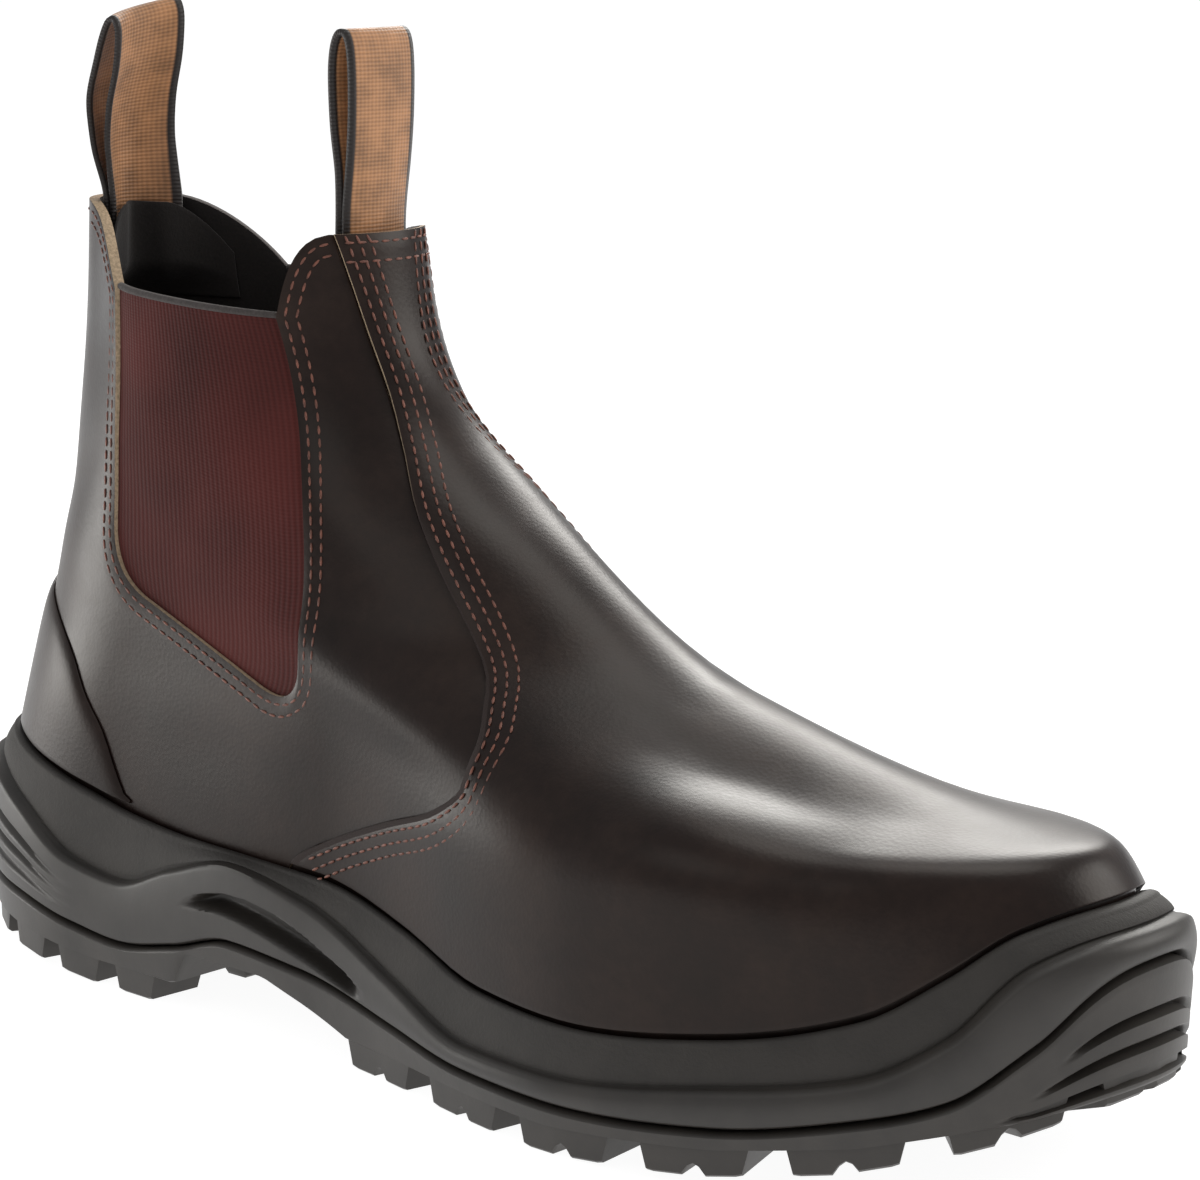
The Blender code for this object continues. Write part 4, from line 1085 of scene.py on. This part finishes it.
class BOOT_OT_midsole(bpy.types.Operator):
    """Mould the midsole: ribbed heel, step, arch pocket, grained band and rolled rim."""

    bl_idname = "boot.midsole"
    bl_label = "Midsole"

    def execute(self, context):
        look = materials()
        angle = np.linspace(0, 2 * math.pi, ROUND)
        x = rim_x(angle)
        rim, step, parting, floor_ = (line(n, x) for n in ("rim", "step", "parting", "floor"))
        bed = np.minimum(parting, floor_ - 3.5)
        heel = ease((58.0 - x) / 26.0)
        tier = np.clip((rim - step) / 5.0, 0.15, 1)
        low, high = (np.interp(x, ARCH_POCKET["x"], ARCH_POCKET[n]) for n in ("low", "high"))
        deep = 4.4 * ease(np.minimum(x - ARCH_POCKET["x"][0], ARCH_POCKET["x"][-1] - x) / 9.0)
        rows = [(None, bed + MIDSOLE_LIFT), (-2.0, bed + MIDSOLE_LIFT)]
        rows += [(EDGE_OUT - 2.6, parting + MIDSOLE_LIFT), (EDGE_OUT - 1.75, parting + 0.25)]
        rows += [(EDGE_OUT - 1.0, parting + 0.6)]
        grained = [0.0] * 5
        for t in np.linspace(0, 1, 41):
            ribs = sum(smooth_dip(t, middle, half) for middle, half in rows_of(HEEL_RIBS))
            height = parting + 1.0 + (step - parting - 1.9) * t
            lens = deep * ease((height - low) / 1.5) * ease((high - height) / 1.0)
            belly = 0.5 * math.sin(math.pi * t) ** 0.8
            rows.append((EDGE_OUT - 0.5 + belly - lens - 1.1 * ribs * heel, height))
            grained.append(0.0)
        for out, lift in rows_of(STEP_ROLL):
            rows.append((EDGE_OUT + out, step + lift * tier))
            grained.append(0.2)
        for t in np.linspace(0.06, 1, 15):
            rows.append((EDGE_OUT - 2.4 - 1.5 * t ** 1.6, step + 0.7 * tier + (rim - step - 1.7 * tier) * t))
            grained.append(1.0)
        for out, lift in rows_of(RIM_ROLL):
            rows.append((EDGE_OUT + out, rim + lift * tier))
            grained.append(0.8)
        points = ring_rows(angle, rows)
        inner = []
        for share, room in ((1.0, 0.45), (0.7, 0.6), (0.3, 0.8), (0.0, 0.8)):
            wall = upper_at(np.full_like(angle, RIM_SHARE * share), angle, room)
            wall[:, 2] = np.minimum(wall[:, 2], rim - 0.3)
            inner.append(wall)
        inner.append(middle_row(x, floor_ - 0.6))
        points = np.concatenate([points, np.array(inner)])
        grained += [0.5] * len(inner)
        bm = bmesh.new()
        layer = bm.verts.layers.float.new("grained")
        bend_grid(bm, points, (0, 0, 1), marks=(layer, np.array(grained)[:, None] + 0 * points[..., 0]))
        weld(bm)
        finish_piece("midsole_moulding", bm, [look["midsole"]], ["midsole"], 50)
        return {"FINISHED"}


class BOOT_OT_outsole(bpy.types.Operator):
    """Mould the outsole: toe slashes, shank, edge lugs and bars."""

    bl_idname = "boot.outsole"
    bl_label = "Outsole"

    def execute(self, context):
        look = materials()
        angle = np.linspace(0, 2 * math.pi, ROUND)
        x = rim_x(angle)
        top = line("parting", x) - OUTSOLE_DROP
        base = tread(x)
        bed = np.minimum(line("parting", x), line("floor", x) - 3.5)
        away = np.abs(angle - math.pi)
        rows = [(None, bed - OUTSOLE_DROP), (-2.0, bed - OUTSOLE_DROP), (EDGE_OUT - 2.4, top)]
        rows += [(EDGE_OUT - 1.6, top - 0.05), (EDGE_OUT - 0.8, top - 0.35), (EDGE_OUT - 0.35, top - 0.8)]
        for t in np.linspace(0.05, 0.95, 41):
            cut = 0.0
            for middle, half, reach in rows_of(TOE_SLASHES):
                cut = cut + smooth_dip(t, middle, half) * ease((reach - away) / 0.12)
            rows.append((EDGE_OUT - 0.25 - 0.5 * t - 1.7 * cut, top - 0.8 + (base - top + 0.8) * t))
        for out, lift in ((-0.95, 0.02), (-1.4, 0.0), (-2.2, 0.0)):
            rows.append((EDGE_OUT + out, base + lift * (top - base)))
        rows.append((None, base))
        bm = bmesh.new()
        bend_grid(bm, ring_rows(angle, rows), (0, 0, -1))
        weld(bm)
        self.lugs(bm)
        self.bars(bm)
        finish_piece("outsole_moulding", bm, [look["outsole"]], ["outsole"], 40)
        return {"FINISHED"}

    def lugs(self, bm):
        """Add the tread blocks round the edge."""
        turn = np.linspace(0, 2 * math.pi, 1441)
        run = travel(outline(turn, EDGE_OUT - LUG_INSET + 0 * turn))
        run -= run[len(run) // 2]
        span = run[-1] - run[0]
        blocks = []
        for lugs, start, inset, notched in ((TOE_LUGS, 0.0, 17.0, True), (HEEL_LUGS, run[-1], 13.0, False)):
            for centre, length in rows_of(lugs):
                for side in ((1,) if centre == 0 else (-1, 1)):
                    blocks.append((start + side * centre, length, inset, notched))
        for centre, length, inset, notched in blocks:
            half = length / 2
            profile = [(-half - 1.8, -ROOT), (-half - 0.2, 0.96), (-half + 1.2, 1.0), (half - 1.2, 1.0),
                       (half + 0.2, 0.96), (half + 1.8, -ROOT)]
            if notched:
                profile[3:3] = [(-2.4, 1.0), (-1.2, 0.7), (0.0, 0.58), (1.2, 0.7), (2.4, 1.0)]
            along = np.array([centre + u for u, _ in profile])
            turn_at = np.interp((along - run[0]) % span + run[0], run, turn)
            drop = np.array([d for _, d in profile])
            rows = []
            for out, deep in ((-1.15, 0.0), (-1.25, 0.93), (-1.75, 1.0), (-inset + 0.8, 1.0), (-inset, 0.0)):
                spot = outline(turn_at, EDGE_OUT + out + 0 * turn_at)
                base = tread(spot[:, 0])
                foot = np.where(drop > 0, base - drop * LUG_DEPTH, base + ROOT)
                rows.append(np.column_stack([spot, (base + ROOT) * (1 - deep) + foot * deep]))
            self.block(bm, np.array(rows))

    def bars(self, bm):
        """Add the bars across the middle of forefoot, heel and shank."""
        across = np.array([-0.5, -0.46, -0.38, 0.38, 0.46, 0.5])
        drop = np.array([-ROOT, 0.9, 1.0, 1.0, 0.9, -ROOT])
        ends = ((-1.0, 0.0), (-0.97, 0.9), (-0.94, 1.0), (0.94, 1.0), (0.97, 0.9), (1.0, 0.0))
        kinds = ((FORE_BARS, 9.0, LUG_DEPTH), (HEEL_BARS, 7.0, LUG_DEPTH), (SHANK_BARS, 3.5, 3.0))
        for bars, width, height in kinds:
            for x, half in rows_of(bars):
                base = float(tread(x))
                foot = np.where(drop > 0, base - drop * height, base + ROOT)
                rows = []
                for y, deep in ends:
                    side = np.full(len(across), float(swing(x)) + y * half)
                    rows.append(np.column_stack(
                        [x + across * width, side, (base + ROOT) * (1 - deep) + foot * deep]))
                self.block(bm, np.array(rows))

    def block(self, bm, rows):
        """Add one tread block from rows of points, closed on top."""
        faces, _spots = bend_grid(bm, rows, (0, 0, -1))
        verts = list({v for f in faces for v in f.verts})
        bmesh.ops.remove_doubles(bm, verts=verts, dist=0.03 * MM)
        kept = [v for v in verts if v.is_valid]
        edges = list({e for v in kept for e in v.link_edges if e.is_boundary})
        filled = bmesh.ops.holes_fill(bm, edges=edges)["faces"]
        bmesh.ops.recalc_face_normals(bm, faces=list({f for v in kept for f in v.link_faces} | set(filled)))


class BOOT_OT_insole(bpy.types.Operator):
    """Lay the felted footbed inside the foot of the upper."""

    bl_idname = "boot.insole"
    bl_label = "Insole"

    def execute(self, context):
        look = materials()
        angle = np.linspace(0, 2 * math.pi, 181)
        x = rim_x(angle)
        rows = [middle_row(x, line("floor", x) + 0.4)]
        edge = ((0.0, 4.2, 0.4), (0.0, 3.6, 0.9), (0.01, 3.5, 3.0), (0.02, 3.9, 3.8), (0.02, 5.0, 4.0))
        for share, room, lift in edge:
            wall = upper_at(np.full_like(angle, share), angle, -room)
            wall[:, 2] = line("floor", wall[:, 0]) + lift
            rows.append(wall)
        rows.append(middle_row(x, line("floor", x) + 3.6))
        for row in (rows[0], rows[-1]):
            row[:, 0] = np.clip(row[:, 0], 20.0, 282.0)
        bm = bmesh.new()
        bend_grid(bm, np.array(rows), (0, 0, 1))
        weld(bm)
        finish_piece("footbed", bm, [look["felt"]], ["insole"])
        return {"FINISHED"}


class BOOT_OT_stitching(bpy.types.Operator):
    """Sew the rows of stitches along the vamp, the gores and the collar."""

    bl_idname = "boot.stitching"
    bl_label = "Stitching"

    def execute(self, context):
        look = materials()
        for side, medial, _outward in SIDES:
            bm = bmesh.new()
            edge = vamp_edge()
            edge = edge[edge[:, 1] > 39.5]
            share, angle = place(edge[:, 0], edge[:, 1], medial)
            for distance in VAMP_ROWS:
                self.row(bm, share, angle, distance, OVERLAY, (1, 0, 0))
            path = chain([shoulder(0, 17)[1:], *gore_sides(0.0), shoulder(1, 13)[::-1]])
            share, angle = place(path[:, 0], path[:, 1], medial)
            for distance in GORE_ROWS:
                self.row(bm, share, angle, distance, 0.0, (0, 0, -1))
            finish_piece("stitching_" + side, bm, [look["thread"]])
        bm = bmesh.new()
        start = float(place(*VAMP_TOP)[1]) + 0.05
        collar = np.full(60, 0.9995)
        angle = np.linspace(start, 2 * math.pi - start, 60)
        for distance in COLLAR_ROWS:
            self.row(bm, collar, angle, distance, OVERLAY, (0, 0, -1))
        angle = np.linspace(-0.55, 0.55, 60)
        self.row(bm, collar, angle, BACK_ROW, 0.0, (0, 0, -1))
        finish_piece("stitching_collar", bm, [look["thread"]])
        return {"FINISHED"}

    def row(self, bm, share, angle, distance, out, way):
        """Sew one row beside a path on the upper, on the side that a direction points to."""
        sizes = bpy.context.scene.boot_sizes
        pitch = sizes.pitch / MM
        along = unit(np.gradient(surface(share, angle), axis=0))
        beside = np.cross(slopes(share, angle)[2], along)
        if np.mean(beside @ np.array(way)) < 0:
            beside = -beside
        share, angle = slide(share, angle, beside, distance)
        seam = upper_at(share, angle, out)
        normal = slopes(share, angle)[2]
        run = travel(seam)
        count = int(run[-1] / pitch)
        at = (np.arange(count) + 0.5) * run[-1] / count
        both = np.concatenate([seam, normal], axis=1)
        spots = np.column_stack([np.interp(at, run, both[:, k]) for k in range(6)])
        ahead = np.column_stack([np.interp(at + 0.3, run, seam[:, k]) for k in range(3)])
        behind = np.column_stack([np.interp(at - 0.3, run, seam[:, k]) for k in range(3)])
        half = pitch * 0.4
        width = sizes.thread / MM
        for spot, tip, tail in zip(spots, ahead, behind):
            x = Vector(tip - tail).normalized()
            z = Vector(spot[3:])
            y = z.cross(x).normalized()
            z = x.cross(y)
            turn = Matrix((x * half, y * width, z * width * 0.7)).transposed().to_4x4()
            turn.translation = Vector(spot[:3] + spot[3:] * 0.02 + SHIFT)
            bmesh.ops.create_uvsphere(
                bm, u_segments=7, v_segments=5, radius=1.0, matrix=Matrix.Scale(MM, 4) @ turn)


class BOOT_OT_stage(bpy.types.Operator):
    """Set the paper floor, the soft lights and the camera."""

    bl_idname = "boot.stage"
    bl_label = "Stage"

    def execute(self, context):
        scene = context.scene
        bm = bmesh.new()
        bmesh.ops.create_grid(bm, x_segments=8, y_segments=8, size=6.0)
        mesh = bpy.data.meshes.new("paper_floor")
        bm.to_mesh(mesh)
        bm.free()
        floor_ = bpy.data.objects.new("paper_floor", mesh)
        scene.collection.objects.link(floor_)
        mesh.materials.append(paper_floor("Matt studio paper", linear("8c8c8c")))
        world = bpy.data.worlds.new("Studio")
        world.use_nodes = True
        sky = world.node_tree.nodes["Background"].inputs
        sky["Color"].default_value = (0.95, 0.97, 1.0, 1.0)
        sky["Strength"].default_value = 0.4
        scene.world = world
        for name, settings in LIGHTS.items():
            self.light(name, *settings)
        data = bpy.data.cameras.new("photo")
        data.lens = LENS
        data.sensor_width = 36.0
        camera = bpy.data.objects.new("photo", data)
        scene.collection.objects.link(camera)
        turn, rise = math.radians(TURN), math.radians(RISE)
        back = Vector((math.sin(turn) * math.cos(rise), -math.cos(turn) * math.cos(rise), math.sin(rise)))
        camera.location = Vector(AIM) + back * DISTANCE
        camera.rotation_mode = "QUATERNION"
        camera.rotation_quaternion = (-back).to_track_quat("-Z", "Y")
        scene.camera = camera
        scene.view_settings.view_transform = "Standard"
        scene.view_settings.look = "None"
        return {"FINISHED"}

    def light(self, name, spot, target, size, watts):
        """Hang a soft box aimed at a point."""
        data = bpy.data.lights.new(name, "AREA")
        data.shape = "RECTANGLE"
        data.size, data.size_y = size
        data.energy = watts
        data.color = (1.0, 0.98, 0.94)
        lamp = bpy.data.objects.new(name, data)
        bpy.context.scene.collection.objects.link(lamp)
        lamp.location = spot
        lamp.rotation_mode = "QUATERNION"
        lamp.rotation_quaternion = (Vector(target) - Vector(spot)).to_track_quat("-Z", "Y")


PIECES = (
    BOOT_OT_upper, BOOT_OT_vamp, BOOT_OT_counter, BOOT_OT_gores, BOOT_OT_loops, BOOT_OT_midsole,
    BOOT_OT_outsole, BOOT_OT_insole, BOOT_OT_stitching, BOOT_OT_stage,
)


class BOOT_PT_sidebar(bpy.types.Panel):
    """Boot pieces and settings."""

    bl_idname = "BOOT_PT_sidebar"
    bl_label = "Pull-on Boot"
    bl_space_type = "VIEW_3D"
    bl_region_type = "UI"
    bl_category = "Boot"

    def draw(self, context):
        for piece in PIECES:
            self.layout.operator(piece.bl_idname)
        for group in (context.scene.boot_sizes, context.scene.boot_colours):
            for name in type(group).__annotations__:
                self.layout.prop(group, name)


CLASSES = (BootColours, BootSizes, *PIECES, BOOT_PT_sidebar)


def register():
    """Register the boot's classes and settings."""
    for item in CLASSES:
        bpy.utils.register_class(item)
    bpy.types.Scene.boot_colours = bpy.props.PointerProperty(type=BootColours)
    bpy.types.Scene.boot_sizes = bpy.props.PointerProperty(type=BootSizes)


def unregister():
    """Remove the boot's classes and settings."""
    del bpy.types.Scene.boot_sizes
    del bpy.types.Scene.boot_colours
    for item in reversed(CLASSES):
        bpy.utils.unregister_class(item)


def main():
    """Register the boot's settings and build every piece in order."""
    register()
    for piece in PIECES:
        group, name = piece.bl_idname.split(".")
        getattr(getattr(bpy.ops, group), name)()


if __name__ == "__main__":
    main()
